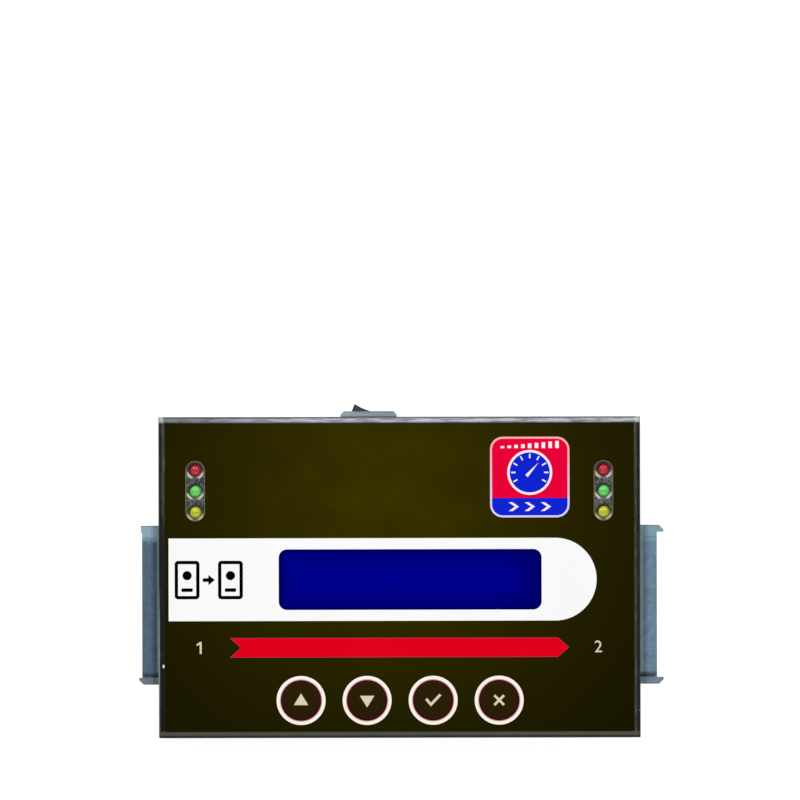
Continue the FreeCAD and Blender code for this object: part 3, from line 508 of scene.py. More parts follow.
mouldings = {
    "foot_rubber": ((24, 24, 25), 0.8, 3.0, 0.04, 0.25),
    "gasket_foam": ((30, 30, 32), 0.95, 5.0, 0.12, 0.3),
    "strip_rubber": ((196, 120, 120), 0.7, 6.0, 0.03),
    "light_guide": ((232, 236, 240), 0.35, 1.0, 0.005, 0.03),
    "header_plastic": ((26, 26, 28), 0.5),
    "spacer_nylon": ((226, 224, 212), 0.5, 2.0, 0.02, 0.05),
    "switch_plastic": ((34, 34, 36), 0.4),
    "connector_white": ((228, 224, 208), 0.45, 3.0, 0.015, 0.05),
    "jack_plastic": ((22, 22, 24), 0.38, 4.0, 0.02, 0.2),
    "coil_ferrite": ((72, 72, 76), 0.75, 5.0, 0.05, 0.2),
}
metals = {
    "bezel_steel": ((44, 44, 48), 0.4),
    "gold_plate": ((238, 200, 118), 0.22),
    "nickel_brass": ((206, 200, 184), 0.28),
    "zinc_steel": ((196, 200, 204), 0.34),
    "lead_tin": ((208, 210, 212), 0.36),
    "can_steel": ((200, 200, 198), 0.25),
    "sink_aluminium": ((66, 68, 72), 0.42, (1, 12, 1), 0.02),
    "black_screws": ((68, 68, 72), 0.38),
}
for recipe, table_rows in ((moulded, mouldings), (metal, metals)):
    for slot, (colour, *grain) in table_rows.items():
        finishes[slot] = recipe(slot + "_finish", tone(*colour), *grain)
print(len(finishes), "finishes so far")

# %% [markdown]
# Boards, chips and capacitors.
# The board is glass laminate under green solder mask, which stands up a little over the copper tracks, so the
# same line pattern drives its colour and its bump. A chip is black epoxy with the fine grain of a blasted
# mould. A capacitor's sleeve has a pale stripe down one side, and its aluminium top shows above the sleeve.

# %% Electronics
def board_laminate():
    board = Finish("board_finish", Roughness=0.32, Coat_Weight=0.4)
    spot = board.place()
    x, y, _ = board.axes(spot)
    wander = board.noise(spot, 0.05, 2.0) * 14
    tracks = (x + y * 0.5 + wander).wrapped(1.2).rising(0.25, 0.35)
    area = board.noise(spot, 0.09, 2.0).rising(0.5, 0.53)
    copper = tracks * area
    board.set("Base Color", board.blend(copper, tone(10, 62, 34), tone(26, 96, 52)))
    return board.bump(copper + board.noise(spot, 6.0, 1.0) * 0.1, 0.03, 0.6)


def chip_epoxy():
    chip = Finish("chip_finish", Roughness=0.62)
    spot = chip.place()
    blast = chip.noise(spot, 9.0, 2.0)
    chip.set("Base Color", chip.blend(blast, tone(22, 22, 24), tone(46, 46, 48)))
    return chip.bump(blast, 0.02, 0.7)


def capacitor_sleeve():
    can = Finish("capacitor_finish")
    _, x, _, z = can.about("capacitors")
    top = towards(z, measured("capacitors")[1].z, 0.4, 0.3)
    stripe = (-x).rising(1.6, 1.8) * (1 - top)
    sleeve = can.blend(stripe, tone(24, 26, 44), tone(178, 182, 190))
    can.set("Base Color", can.blend(top, sleeve, tone(206, 208, 212)))
    can.set("Metallic", top)
    can.set("Roughness", 0.35 + can.noise(can.place(), 2.0) * 0.15)
    return can.bump(can.noise(can.place(), 5.0), 0.01, 0.5)


def lead_insulation():
    wire = Finish("lead_insulation_finish", Roughness=0.45)
    _, x, _, _ = wire.about("switch_leads")
    wire.set("Base Color", wire.blend(x.rising(-0.1, 0.1), tone(176, 22, 24), tone(26, 26, 28)))
    return wire.bump(wire.noise(wire.place(), 3.0), 0.01, 0.5)


for recipe in (board_laminate, chip_epoxy, capacitor_sleeve, lead_insulation):
    finishes[recipe.__name__] = recipe()
print("electronics ready:", len(finishes))

# %% [markdown]
# Status lights.
# A 3 mm light is tinted epoxy. From above we look through its dome at the dark cup that holds the chip, which
# shows as a darker band across the middle with the bright dome round it. The colour darkens towards the
# dome's edge by distance from its axis, as painted shade mixed with an uneven tint, and a faint glow stands
# for the light that tinted epoxy carries inside it. Only the dome's top stands out of its hole, so its foot
# towards the rear left is painted dark as the hole's shadow, with no glow there.

# %% Lights
light_colours = {"red": tone(180, 8, 38), "green": tone(98, 208, 96), "yellow": tone(192, 192, 28)}


def status_light(node):
    colour = light_colours[node.rsplit("_", 1)[1]]
    lens = Finish("light_" + node, Roughness=0.07, IOR=1.5)
    spot, x, y, _ = lens.about(node)
    off_axis = (x * x + y * y) ** 0.5
    cup = (1 - abs(y + 0.15).rising(0.12, 0.4)) * (1 - off_axis.rising(0.6, 1.1))
    shade = (((x - 0.18) ** 2 + (y + 0.15) ** 2) ** 0.5).rising(1.32, 1.62)
    cloud = lens.noise(spot, 0.9, 2.0) * 0.25
    # The darkening towards the dome's edge is painted shade mixed with uneven tint, and the shade share is the
    # hole's painted shadow.
    lens.set("Base Color", lens.layered(colour, [
        (off_axis.rising(0.9, 1.6) * 0.35 + cloud, scaled(colour, 0.4)),
        (cup * 0.45, scaled(colour, 0.3)),
        (shade * 0.96, scaled(colour, 0.02))]))
    lens.set("Emission Color", lens.blend(shade, colour, (0.0, 0.0, 0.0)))
    return lens.set("Emission Strength", 0.13).bump(lens.noise(spot, 1.5), 0.01, 0.2)


print("light colours", sorted(light_colours))

# %% [markdown]
# Receptacles and rocker.
# The drive receptacles are glass-filled plastic with a cloudy slate colour, paler and greener over the zone
# beyond their last contact. Both are one plastic: the source housing is given a darker copy of the colour as
# painted shade and the target a lighter one, a painted highlight runs beside the lid's wall, and painted
# shade lies along a step and in the groove near the front. The rocker's bezel is satin grey-blue and its
# paddle is near black, with the usual stroke and ring moulded into its two faces.

# %% Receptacle and rocker finishes
def receptacle_plastic(side, colour, zone_colour, wall_highlight_colour, wall_highlight_reach):
    housing = Finish(side + "_receptacle_finish", Specular_IOR_Level=0.3)
    centre, half = measured(side + "_receptacle")
    spot, x, y, _ = housing.about(side + "_receptacle")
    flow = housing.noise(spot, 0.5, 3.0) * 0.6 + housing.noise(spot, 2.2, 3.0) * 0.4
    zone = towards(y + (flow - 0.5) * 2.5, half.y, 4.6, 2.6)
    # Painted shade: a dark line along the step at the zone's edge, and the groove near the front end darkened.
    line = 1 - abs(y - (half.y - 3.1)).rising(0.1, 0.3)
    front_end = towards(-y, half.y, 2.4, 2.0)
    groove_shade = 1 - abs(y + half.y - 2.5).rising(0.25, 0.8)
    wall_x = case_half.x - abs(centre.x - case_centre.x) / mm
    outward = math.copysign(1.0, centre.x - case_centre.x)
    # Painted highlight: a pale strip beside the lid's wall stands for light thrown back from the wall.
    wall_highlight = 1 - (x * outward - wall_x).rising(0.2, wall_highlight_reach)
    rear_rim = towards(y, half.y, 0.4, 0.1)
    body = housing.blend(flow.rising(0.28, 0.72), scaled(colour, 0.68), scaled(colour, 1.32))
    housing.set("Base Color", housing.layered(body, [
        (zone, zone_colour),
        (line * 0.25, scaled(colour, 0.35)),
        (wall_highlight * 0.7, wall_highlight_colour),
        (front_end * 0.6, tone(122, 132, 146)),
        (rear_rim * 0.6, tone(70, 82, 80)),
        (groove_shade * 0.75, tone(26, 40, 46))]))
    housing.set("Roughness", 0.3 + flow * 0.15)
    return housing.bump(flow + housing.noise(spot, 6.0) * 0.3, 0.03, 0.5)


def rocker_bezel():
    """Paler at its left end, with a darker line along its upper front edge from the paddle to the right."""
    bezel = moulded("rocker_bezel_finish", bezel_grey, 0.36, 3.0, 0.015, 0.1)
    half = measured("rocker_housing")[1]
    spot, x, y, z = bezel.about("rocker_housing")
    right = x.rising(-5.5, 3.0) * 0.75 + bezel.noise(spot, 0.9, 3.0) * 0.25
    line = towards(y, half.y, 0.45, 0.25) * towards(z, half.z, 1.1, 0.9) * x.rising(-4.2, -3.2)
    body = bezel.blend(right, tone(131, 146, 154), tone(115, 131, 145))
    bezel.set("Base Color", bezel.blend(line * 0.8, body, tone(88, 100, 107)))
    return bezel


def rocker_paddle():
    paddle = moulded("rocker_paddle_finish", black_plastic, 0.5, 4.0, 0.012, 0.2, Specular_IOR_Level=0.3)
    joint = next(j for j in frame["joints"] if j["name"] == "rocker")
    x, y, z = paddle.axes(paddle.place(joint["pos_m"], -rocker_tilt))
    stroke = (1 - abs(x - mark_reach).rising(0.2, 0.26)) * (1 - abs(z).rising(1.15, 1.2))
    off_ring = abs(((x + mark_reach) ** 2 + z ** 2) ** 0.5 - mark_radius)
    marks = stroke.greater(1 - off_ring.rising(0.18, 0.24)) * y.rising(3.0, 3.2)
    paddle.set("Base Color", paddle.blend(marks, black_plastic, tone(232, 230, 224)))
    return paddle


black_plastic = tone(20, 25, 28)
bezel_grey = tone(118, 132, 148)
rocker_tilt = math.radians(12)
mark_reach = 2.5
mark_radius = 1.0
finishes["rocker_bezel"] = rocker_bezel()
finishes["rocker_black"] = rocker_paddle()
# One plastic in two tones: the source housing's darker colour is painted shade and the target's lighter one
# painted light.
side_finishes = {
    "source": receptacle_plastic("source", tone(61, 92, 117), tone(150, 181, 200), tone(150, 176, 168), 0.6),
    "target": receptacle_plastic("target", tone(101, 135, 159), tone(130, 168, 181), tone(160, 188, 172), 1),
}
print("receptacle finishes", sorted(side_finishes))

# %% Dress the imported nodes
dressed = {}
for name, node in frame["nodes"].items():
    slot = node.material_slots[0].material.name
    if slot.startswith("led_"):
        finish = status_light(name)
    elif slot == "receptacle_plastic":
        finish = side_finishes[name.split("_")[0]]
    else:
        finish = finishes[slot]
    node.material_slots[0].material = finish.material
    dressed[name] = slot, finish
print("dressed", len(dressed), "nodes")

# %% [markdown]
# Building new pieces.
# Prints are thin layers that lie on the film. Each starts as flat faces from a grid, a circle or a row of
# points, drawn in millimetres, and is then given the thickness of ink. Every new piece ends the same way:
# normals out, smooth where it is round, riding on its body and with its finish.
# Whatever lies within a hair, a thousandth of a millimetre, counts as one place.

# %% Helpers for new pieces
ink_thickness = 0.02
sharp_angle = math.radians(35)
hair = 0.001


def finished(name, bm, materials, body, replaced=()):
    """Makes the object from a bmesh in metres, and ties it to its body; a copied node's old normals go."""
    bmesh.ops.recalc_face_normals(bm, faces=bm.faces)
    mesh = bpy.data.meshes.new(name)
    bm.to_mesh(mesh)
    bm.free()
    stale = mesh.attributes.get("custom_normal")
    if stale:
        mesh.attributes.remove(stale)
    mesh.shade_smooth()
    mesh.set_sharp_from_angle(angle=sharp_angle)
    for finish in materials:
        mesh.materials.append(finish.material)
    piece = put(name, mesh)
    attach(piece, body)
    if replaced:
        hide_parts(*replaced)
    print(name, len(mesh.polygons), "faces")
    return piece


def everything(bm):
    return bm.verts[:] + bm.edges[:] + bm.faces[:]


def verts_in(made):
    return [part for part in made["geom"] if isinstance(part, bmesh.types.BMVert)]


def disc(bm, x, y, radius, segments=72):
    circle = bmesh.ops.create_circle(bm, cap_ends=True, segments=segments, radius=radius,
                                     matrix=Matrix.Translation((x, y, 0)))
    return circle["verts"][0].link_faces[0]


def panel(bm, x, y, length, depth, corner=0.0, turn=0.0, segments=8):
    """A rectangle, turned about its middle; a corner of half its depth makes round ends."""
    place = Matrix.Translation((x, y, 0)) @ Matrix.Rotation(turn, 4, "Z")
    place = place @ Matrix.Diagonal((length, depth, 1, 1))
    drawn_before = set(bm.faces)
    verts = bmesh.ops.create_grid(bm, x_segments=1, y_segments=1, size=0.5, matrix=place)["verts"]
    if corner:
        bmesh.ops.bevel(bm, geom=verts, offset=corner, offset_type="OFFSET", affect="VERTICES",
                        segments=segments, profile=0.5, material=-1, clamp_overlap=True)
    return max(set(bm.faces) - drawn_before, key=lambda face: face.calc_area())


def outline(bm, points):
    face = bm.faces.new([bm.verts.new((x, y, 0)) for x, y in points])
    face.normal_update()
    return face


def bordered(bm, face, width):
    """Insets a flat face and returns the faces of its border."""
    return bmesh.ops.inset_region(bm, faces=[face], thickness=width, use_even_offset=True,
                                  use_boundary=True)["faces"]


def hollowed(bm, face, width):
    """Turns a flat face into a frame of the given width."""
    bordered(bm, face, width)
    bmesh.ops.delete(bm, geom=[face], context="FACES_ONLY")


def thickened(bm, thickness):
    raised = bmesh.ops.extrude_face_region(bm, geom=bm.faces[:])
    bmesh.ops.translate(bm, vec=(0, 0, thickness), verts=verts_in(raised))


def printed(name, bm, inks, level=sheet_top, thickness=ink_thickness):
    thickened(bm, thickness)
    bmesh.ops.transform(bm, matrix=drawn_at(level), verts=bm.verts)
    finished(name, bm, inks, "case")


def cross(reach, half, turn):
    """Twelve points round a cross of four equal arms; turn is its first arm's direction in half turns."""
    points = []
    for quarter in range(4):
        angle = math.pi * (turn + quarter / 2)
        along = Vector((math.cos(angle), math.sin(angle)))
        side = Vector((-along.y, along.x))
        points += [along * half - side * half, along * reach - side * half, along * reach + side * half]
    return points


# %% [markdown]
# The white band.
# A band of opaque white runs in from the left edge and ends in a half circle past the display. Half a disc,
# with its flat side drawn out to the left, gives the outline. The window is a second outline inside it, and
# filling between the two leaves it open, so that the lens shows through.

# %% White band
band_left = -57.5
band_right = 49.1
band_middle = -0.54
band_radius = 10.3
window_corner = 2.1
window_shift = -0.2
shortest_edge = 0.05

bm = bmesh.new()
round_end = band_right - band_radius
disc(bm, round_end, band_middle, band_radius, 96)
bmesh.ops.bisect_plane(bm, geom=everything(bm), plane_co=(round_end, 0, 0), plane_no=(-1, 0, 0),
                       clear_outer=True)
flat_side = [e for e in bm.edges if all(abs(v.co.x - round_end) < hair for v in e.verts)]
drawn = bmesh.ops.extrude_edge_only(bm, edges=flat_side)
bmesh.ops.translate(bm, vec=(band_left - round_end, 0, 0), verts=verts_in(drawn))
bmesh.ops.dissolve_edges(bm, edges=[e for e in bm.edges if len(e.link_faces) == 2])
window = middle("display_window")
panel(bm, window.x + window_shift, window.y, 2 * view_half[0], 2 * view_half[1], window_corner)
bmesh.ops.delete(bm, geom=bm.faces[:], context="FACES_ONLY")
bmesh.ops.remove_doubles(bm, verts=bm.verts, dist=shortest_edge)
print("band outline", len(bm.verts), "points", len(bm.edges), "edges")
bmesh.ops.triangle_fill(bm, edges=bm.edges[:], use_beauty=True)
printed("label_white_band", bm, [white_ink])

# %% [markdown]
# The copy arrow.
# A long red bar points from the source side to the target side, with a notch in its tail and a blunt point.
# It is a six-point outline. Screen print leaves a darker line where the red overlaps the olive, so the
# outline is inset once and the thin border takes the second ink.

# %% Arrow
arrow_tail = -42.35
arrow_notch = -39.65
arrow_shoulder = 39.45
arrow_tip = 42.3
arrow_rear = -15.03
arrow_front = -19.97
arrow_border = 0.14

bm = bmesh.new()
arrow_middle = (arrow_rear + arrow_front) / 2
arrow = outline(bm, [(arrow_tail, arrow_front), (arrow_shoulder, arrow_front), (arrow_tip, arrow_middle),
                     (arrow_shoulder, arrow_rear), (arrow_tail, arrow_rear), (arrow_notch, arrow_middle)])
for face in bordered(bm, arrow, arrow_border):
    face.material_index = 1
printed("label_copy_arrow", bm, [red_ink, dark_red_ink])

# %% [markdown]
# Rings, numbers and slot edges.
# Each key has a cream ring printed round its hole, pinker along its inside. The places beside the arrow hold
# a plain 1 and 2, for the first and the second drive: the built-in font's 1 is a bare stroke, so it is an
# outline with a flag. The film's cut edge shows as a thin pale line round the two light slots.

# %% Rings, numbers and slot edges
key_names = ["up", "down", "confirm", "back"]
ring_outer = 6.1
ring_change = 5.3
ring_inner = 5.06
number_size = 4.2
number_one = [(-0.1, -1.5), (0.4, -1.5), (0.4, 1.5), (0.0, 1.5), (-0.85, 0.95), (-0.85, 0.45), (-0.1, 0.87)]
number_places = {"1": (-49.7, -17.5), "2": (49.5, -17.5)}
cut_edge = 0.12
edge_depth = 0.2

bm = bmesh.new()
for key in key_names:
    spot = middle("key_cap_" + key)
    inner = disc(bm, spot.x, spot.y, ring_outer)
    bordered(bm, inner, ring_outer - ring_change)
    for face in bordered(bm, inner, ring_change - ring_inner):
        face.material_index = 1
    bmesh.ops.delete(bm, geom=[inner], context="FACES_ONLY")
printed("label_key_rings", bm, [cream_ink, ring_pink])

bm = bmesh.new()
x, y = number_places["1"]
outline(bm, [(x + right, y + up) for right, up in number_one])
writing = bpy.data.curves.new("writing", "FONT")
writing.body = "2"
writing.size = number_size
writing.align_x = writing.align_y = "CENTER"
holder = bpy.data.objects.new("writing", writing)
flat = bpy.data.meshes.new_from_object(holder)
flat.transform(Matrix.Translation((*number_places["2"], 0)))
bm.from_mesh(flat)
bpy.data.objects.remove(holder)
printed("label_numbers", bm, [legend_ink])

bm = bmesh.new()
for side in ("source", "target"):
    spot = middle("led_" + side + "_green")
    hollowed(bm, panel(bm, spot.x, spot.y, *slot_size, slot_size[0] / 2 - hair, segments=16), cut_edge)
printed("label_slot_edges", bm, [film_edge], sheet_top - edge_depth * mm, edge_depth)

# %% [markdown]
# The badge.
# A square sticker with round corners carries a generic speed gauge: a red field, a blue strip at its foot,
# and a pale border. One panel is inset for the border and cut once by a plane between the two fields. A blue
# dial face lies on it, and over that a white layer: a ring, a needle, ticks, rising bars and chevrons.

# %% Badge
badge_size = (19.8, 20.1)
badge_middle = (32.5, 24.9)
badge_corner = 3.2
badge_border = 0.5
strip_top = 19.7
badge_thickness = 0.08
dial_middle = Vector((32.5, 26.05))
dial_radius = 5.6
dial_ring = 0.6
dial_thickness = 0.01
tick_count = 9
tick_sweep = math.radians(240)
tick_size = (1.1, 0.36)
tick_gap = 0.9
needle_angle = math.radians(48)
needle_reach = 3.3
needle_tail = 1.2
needle_half = 0.42
bar_count = 9
bar_pitch = 1.7
bar_width = 0.9
bar_lowest = 0.5
bar_growth = 0.16
bar_foot = 32.1
chevron_pitch = 4.0
chevron = [(-1.3, -1.1), (-0.3, -1.1), (1.3, 0), (-0.3, 1.1), (-1.3, 1.1), (0.3, 0)]


def badge_border_ink():
    ink = Finish("badge_border_ink", Specular_IOR_Level=0.1)
    _, _, y, _ = ink.about("top_cover")
    rise = y.rising(badge_middle[1] - badge_size[1] / 2, badge_middle[1] + badge_size[1] / 2)
    ink.set("Base Color", ink.blend(rise, tone(214, 206, 244), tone(246, 168, 170)))
    return ink.bump(ink.noise(ink.place(), 7.0, 1.0), 0.004, 0.5)


bm = bmesh.new()
sticker = panel(bm, *badge_middle, *badge_size, badge_corner, segments=12)
for face in bordered(bm, sticker, badge_border):
    face.material_index = 2
bmesh.ops.bisect_plane(bm, geom=[sticker, *sticker.edges, *sticker.verts], plane_co=(0, strip_top, 0),
                       plane_no=(0, 1, 0))
for face in bm.faces:
    if face.material_index == 0 and face.calc_center_median().y < strip_top:
        face.material_index = 1
printed("badge_sticker", bm, [badge_red_ink, blue_ink, badge_border_ink()], thickness=badge_thickness)

bm = bmesh.new()
disc(bm, *dial_middle, dial_radius - dial_ring)
printed("badge_dial_face", bm, [blue_ink], sheet_top + badge_thickness * mm, dial_thickness)

bm = bmesh.new()
hollowed(bm, disc(bm, *dial_middle, dial_radius), dial_ring)
reach = dial_radius - dial_ring - tick_gap
for i in range(tick_count):
    angle = math.pi / 2 + tick_sweep * (0.5 - i / (tick_count - 1))
    panel(bm, dial_middle.x + reach * math.cos(angle), dial_middle.y + reach * math.sin(angle), *tick_size,
          turn=angle)
needle = Vector((math.cos(needle_angle), math.sin(needle_angle)))
tail = dial_middle - needle * needle_tail
across = Vector((-needle.y, needle.x)) * needle_half
outline(bm, [tail + across, tail - across, dial_middle + needle * needle_reach])
for i in range(bar_count):
    height = bar_lowest + bar_growth * i
    x = badge_middle[0] + bar_pitch * (i - (bar_count - 1) / 2)
    panel(bm, x, bar_foot + height / 2, bar_width, height)
y = (badge_middle[1] - badge_size[1] / 2 + badge_border + strip_top) / 2
for i in (-1, 0, 1):
    x = badge_middle[0] + chevron_pitch * i
    outline(bm, [(x + right, y + up) for right, up in chevron])
printed("badge_dial", bm, [badge_white_ink], sheet_top + (badge_thickness + dial_thickness) * mm)

# %% [markdown]
# The drive symbol.
# The left end of the white band carries a plain symbol in olive: one drive, an arrow, another drive. Each
# drive is a rounded panel hollowed to a frame, with a disc and a bar in it.

# %% Drive symbol
symbol_middle = (-47.5, -0.6)
symbol_reach = 5.4
drive_size = (6.2, 9.6)
drive_corner = 0.9
drive_line = 0.85
drive_disc_radius = 1.15
drive_disc_rise = 1.1
drive_bar_size = (2.8, 0.9)
drive_bar_corner = 0.2
drive_bar_drop = 2.5
small_arrow = [(-1.5, -0.45), (-0.1, -0.45), (-0.1, -1.3), (1.5, 0), (-0.1, 1.3), (-0.1, 0.45), (-1.5, 0.45)]

bm = bmesh.new()
middle_x, y = symbol_middle
for step in (-1, 1):
    x = middle_x + step * symbol_reach
    hollowed(bm, panel(bm, x, y, *drive_size, drive_corner), drive_line)
    panel(bm, x, y - drive_bar_drop, *drive_bar_size, drive_bar_corner)
    disc(bm, x, y + drive_disc_rise, drive_disc_radius, 32)
outline(bm, [(middle_x + right, y + up) for right, up in small_arrow])
printed("label_drive_symbol", bm, [symbol_ink])

# %% [markdown]
# Key caps.
# A cap is a turned shape: a crowned face, a round shoulder, a flange that stays under the lid, and a stem
# with a socket for its plunger. Its half section is spun once round its axis. The crown's height is a small
# formula, so that the legend, printed on the face, can follow it. The rim outside the face is dark red.

# %% Key caps
cap_edge = 0.3
face_radius = 4.45
flange_lip = 0.9
flange_depth = 0.8
crown_rise = 0.22
crown_below = 0.03
stem_wall = 0.95
socket_depth = 1.5
socket_gap = 0.02
lid_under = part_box("display_window")[0].z / mm
flange_top = lid_under - 0.1
edge_steps = 4
face_steps = 6
spin_steps = 72


def crown(radius, crest, edge):
    return crest - crown_rise * (radius / edge) ** 2


def key_cap(key):
    centre, half = measured("key_cap_" + key)
    flange = half.x
    bottom = centre.z / mm - half.z
    crest = centre.z / mm + half.z - crown_below
    plunger = measured("key_plunger_" + key)[1].x + socket_gap
    stem = plunger - socket_gap + stem_wall
    side = flange - flange_lip
    edge = side - cap_edge
    shoulder = crown(edge, crest, edge)
    flange_under = flange_top - flange_depth
    section = [(0, bottom + socket_depth), (plunger, bottom + socket_depth), (plunger, bottom),
               (stem, bottom), (stem, flange_under), (flange, flange_under), (flange, flange_top),
               (side, flange_top)]
    for step in range(edge_steps + 1):
        turn = math.pi / 2 * step / edge_steps
        section.append((edge + cap_edge * math.cos(turn), shoulder - cap_edge + cap_edge * math.sin(turn)))
    for step in range(face_steps + 1):
        radius = face_radius * (1 - step / face_steps)
        section.append((radius, crown(radius, crest, edge)))
    bm = bmesh.new()
    verts = [bm.verts.new((radius, 0, height)) for radius, height in section]
    edges = [bm.edges.new(pair) for pair in zip(verts, verts[1:])]
    bmesh.ops.spin(bm, geom=verts + edges, cent=(0, 0, 0), axis=(0, 0, 1), angle=2 * math.pi,
                   steps=spin_steps, use_merge=True)
    bmesh.ops.remove_doubles(bm, verts=bm.verts, dist=hair)
    for face in bm.faces:
        spot = face.calc_center_median()
        if spot.z > flange_top and spot.xy.length > face_radius:
            face.material_index = 1
    bmesh.ops.transform(bm, matrix=drawn_at(0, centre), verts=bm.verts)
    finished("key_cap_turned_" + key, bm, [finishes["key_plastic"], rim_red], key + "_key",
             ["key_cap_" + key])
    return centre, crest, edge


caps = {key: key_cap(key) for key in key_names}

# %% [markdown]
# Key legends.
# The four legends are plain signs: up, down, a tick and a cross. A flat sign would sink into the crowned
# face, so it is first cut into small squares by planes, and then each point is lifted to the crown.

# %% Key legends
sign_cut = 0.45
sign_cuts = 6
weld = 0.01
cross_reach = 1.7
cross_half = 0.3
signs = {
    "up": [(-1.8, -1.15), (1.8, -1.15), (0, 1.75)],
    "down": [(-1.8, 1.15), (0, -1.75), (1.8, 1.15)],
    "confirm": [(-2.0, 0.15), (-0.55, -1.55), (2.05, 1.2), (1.55, 1.65), (-0.55, -0.6), (-1.5, 0.55)],
    "back": cross(cross_reach, cross_half, 0.25),
}

for key, points in signs.items():
    centre, crest, edge = caps[key]
    bm = bmesh.new()
    outline(bm, points)
    bmesh.ops.triangulate(bm, faces=bm.faces[:])
    for axis in ((1, 0, 0), (0, 1, 0)):
        for step in range(-sign_cuts, sign_cuts + 1):
            bmesh.ops.bisect_plane(bm, geom=everything(bm), dist=weld, plane_no=axis,
                                   plane_co=Vector(axis) * step * sign_cut)
    bmesh.ops.remove_doubles(bm, verts=bm.verts, dist=weld)
    thickened(bm, ink_thickness)
    for vert in bm.verts:
        vert.co.z += crown(vert.co.xy.length, crest, edge)
    bmesh.ops.transform(bm, matrix=drawn_at(0, centre), verts=bm.verts)
    finished("key_legend_" + key, bm, [legend_ink], key + "_key")

# %% [markdown]
# Moulded housings.
# Real mouldings have no razor edges: the light runs along a small radius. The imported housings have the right
# form with sharp edges, so a copy of each is merged, its flats are made whole again, and its sharp edges
# are bevelled. Weighted normals keep the large flats flat beside the small radii. On the source side the
# rear arm ends in a short square lip, so its tip is pressed back before the bevel.

# %% Housings with soft edges
flat_angle = math.radians(1)
receptacle_radius = 0.12
bezel_radius = 0.3
inlet_radius = 0.15
arm_depth = 1.75
arm_shortening = 0.5
arm_margin = 0.1


def merged_copy(node):
    """A node's mesh with its loose triangles joined."""
    bm = bmesh.new()
    bm.from_mesh(frame["nodes"][node].data)
    bmesh.ops.remove_doubles(bm, verts=bm.verts, dist=hair * mm)
    return bm


def reworked(name, bm, node):
    """Ends a changed copy of a node, in the node's own finish and with its flats kept flat."""
    slot, finish = dressed[node]
    piece = finished(name, bm, [finish], "case", [node])
    piece.modifiers.new("flats", "WEIGHTED_NORMAL").keep_sharp = True


def softened(name, bm, node, width):
    bmesh.ops.dissolve_limit(bm, angle_limit=flat_angle, verts=bm.verts, edges=bm.edges)
    sharp = [e for e in bm.edges if len(e.link_faces) == 2 and e.calc_face_angle() > sharp_angle]
    bmesh.ops.bevel(bm, geom=sharp, offset=width * mm, offset_type="OFFSET", affect="EDGES", segments=2,
                    profile=0.5, material=-1, clamp_overlap=True)
    reworked(name, bm, node)


bm = merged_copy("source_receptacle")
low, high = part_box("source_receptacle")
tip = low.x + arm_shortening * mm
for vert in bm.verts:
    if vert.co.y > high.y - (arm_depth + arm_margin) * mm:
        vert.co.x = max(vert.co.x, tip)
    if vert.co.y > high.y - arm_margin * mm and vert.co.x < tip + mm:
        vert.co.x = tip
bmesh.ops.remove_doubles(bm, verts=bm.verts, dist=hair * mm)
softened("source_housing", bm, "source_receptacle", receptacle_radius)
softened("target_housing", merged_copy("target_receptacle"), "target_receptacle", receptacle_radius)
softened("rocker_frame", merged_copy("rocker_housing"), "rocker_housing", bezel_radius)
softened("power_inlet", merged_copy("dc_jack"), "dc_jack", inlet_radius)

# %% [markdown]
# Lid and label with square corners.
# The folds of a sheet lid meet in a mitre, so from above its corners are square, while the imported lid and
# label round them a little. A copy of each is merged, and every point in a corner's circle is pushed out
# along its own direction to the square round that circle. The section of the folds stays as it is.

# %% Square corners
fold_radius = 1.3
label_corner = 0.8


def squared(name, node, radius):
    bm = merged_copy(node)
    low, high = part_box(node)
    centre, half = (low + high) / 2, (high - low) / 2
    moved = 0
    for vert in bm.verts:
        from_middle = vert.co - centre
        past_x = abs(from_middle.x) - (half.x - radius * mm)
        past_y = abs(from_middle.y) - (half.y - radius * mm)
        if past_x > 0 and past_y > 0:
            push = math.hypot(past_x, past_y) / max(past_x, past_y) - 1
            vert.co.x += math.copysign(past_x * push, from_middle.x)
            vert.co.y += math.copysign(past_y * push, from_middle.y)
            moved += 1
    bmesh.ops.dissolve_degenerate(bm, edges=bm.edges, dist=hair * mm)
    print(name, moved, "points pushed out")
    reworked(name, bm, node)


squared("folded_lid", "top_cover", fold_radius)
squared("label_film", "overlay", label_corner)

# %% [markdown]
# Side screws.
# Four countersunk screws with a cross recess hold the lid to its tray. Head and cross are two outlines with
# the flat between them filled. Each outline is then drawn down: the circle as the cone and the shank, the
# cross as a tapering recess.

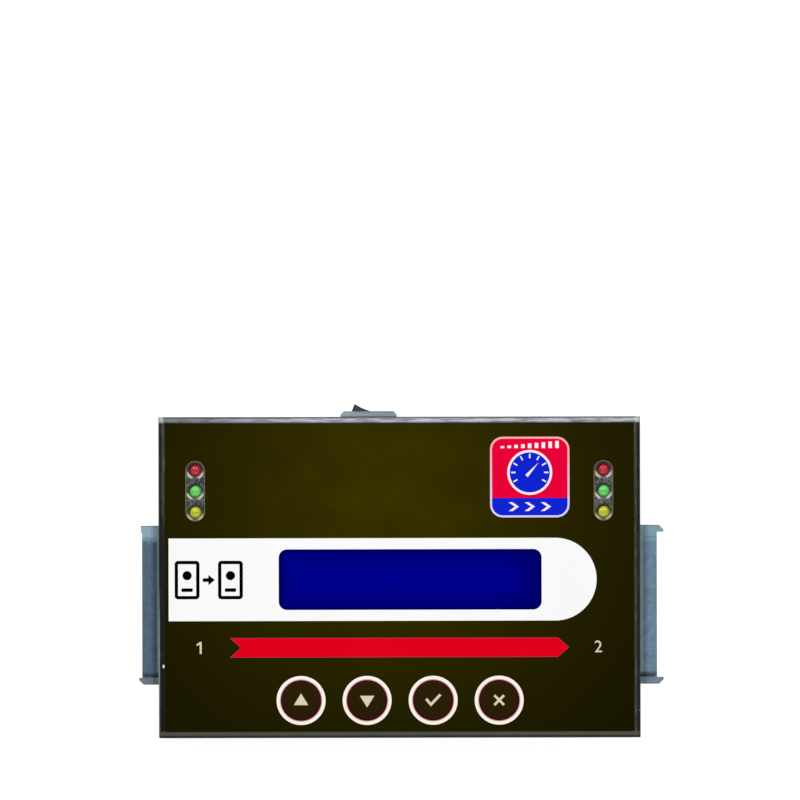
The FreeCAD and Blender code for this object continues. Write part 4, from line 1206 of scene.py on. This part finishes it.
# %% Side screws
head_radius = 2.2
shank_radius = 1.25
shank_length = 5.0
recess_depth = 1.0
recess_reach = 1.25
recess_half = 0.28
recess_taper = 0.45
screw_turns = (25, 62)


def drawn_down(bm, edges, depth, share):
    """Draws a level outline down, scales it about the axis, and returns its new edges."""
    made = bmesh.ops.extrude_edge_only(bm, edges=edges)
    verts = verts_in(made)
    bmesh.ops.scale(bm, vec=(share, share, 1), verts=verts)
    bmesh.ops.translate(bm, vec=(0, 0, -depth), verts=verts)
    return [e for e in made["geom"] if isinstance(e, bmesh.types.BMEdge) and all(v in verts for v in e.verts)]


def side_screw(bm, place):
    drawn_before = set(bm.verts)
    rim = bmesh.ops.create_circle(bm, segments=40, radius=head_radius)["verts"]
    rim_edges = list({e for v in rim for e in v.link_edges})
    corners = [bm.verts.new((x, y, 0)) for x, y in cross(recess_reach, recess_half, 0)]
    cross_edges = [bm.edges.new(pair) for pair in zip(corners, corners[1:] + corners[:1])]
    bmesh.ops.triangle_fill(bm, edges=rim_edges + cross_edges, use_beauty=True)
    floor = drawn_down(bm, cross_edges, recess_depth, recess_taper)
    bmesh.ops.edgeloop_fill(bm, edges=floor)
    neck = drawn_down(bm, rim_edges, head_radius - shank_radius, shank_radius / head_radius)
    end = drawn_down(bm, neck, shank_length - (head_radius - shank_radius), 1.0)
    bmesh.ops.edgeloop_fill(bm, edges=end)
    bmesh.ops.transform(bm, matrix=place @ Matrix.Scale(mm, 4),
                        verts=[v for v in bm.verts if v not in drawn_before])


bm = bmesh.new()
screw_low, screw_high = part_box("case_screws")
for side in (-1, 1):
    face_x = screw_low.x if side < 0 else screw_high.x
    for y, turn in zip((screw_low.y + head_radius * mm, screw_high.y - head_radius * mm), screw_turns):
        place = Matrix.Translation((face_x, y, (screw_low.z + screw_high.z) / 2))
        place = place @ Matrix.Rotation(side * math.pi / 2, 4, "Y")
        side_screw(bm, place @ Matrix.Rotation(math.radians(turn * side), 4, "Z"))
finished("side_screws", bm, [finishes["black_screws"]], "case", ["case_screws"])
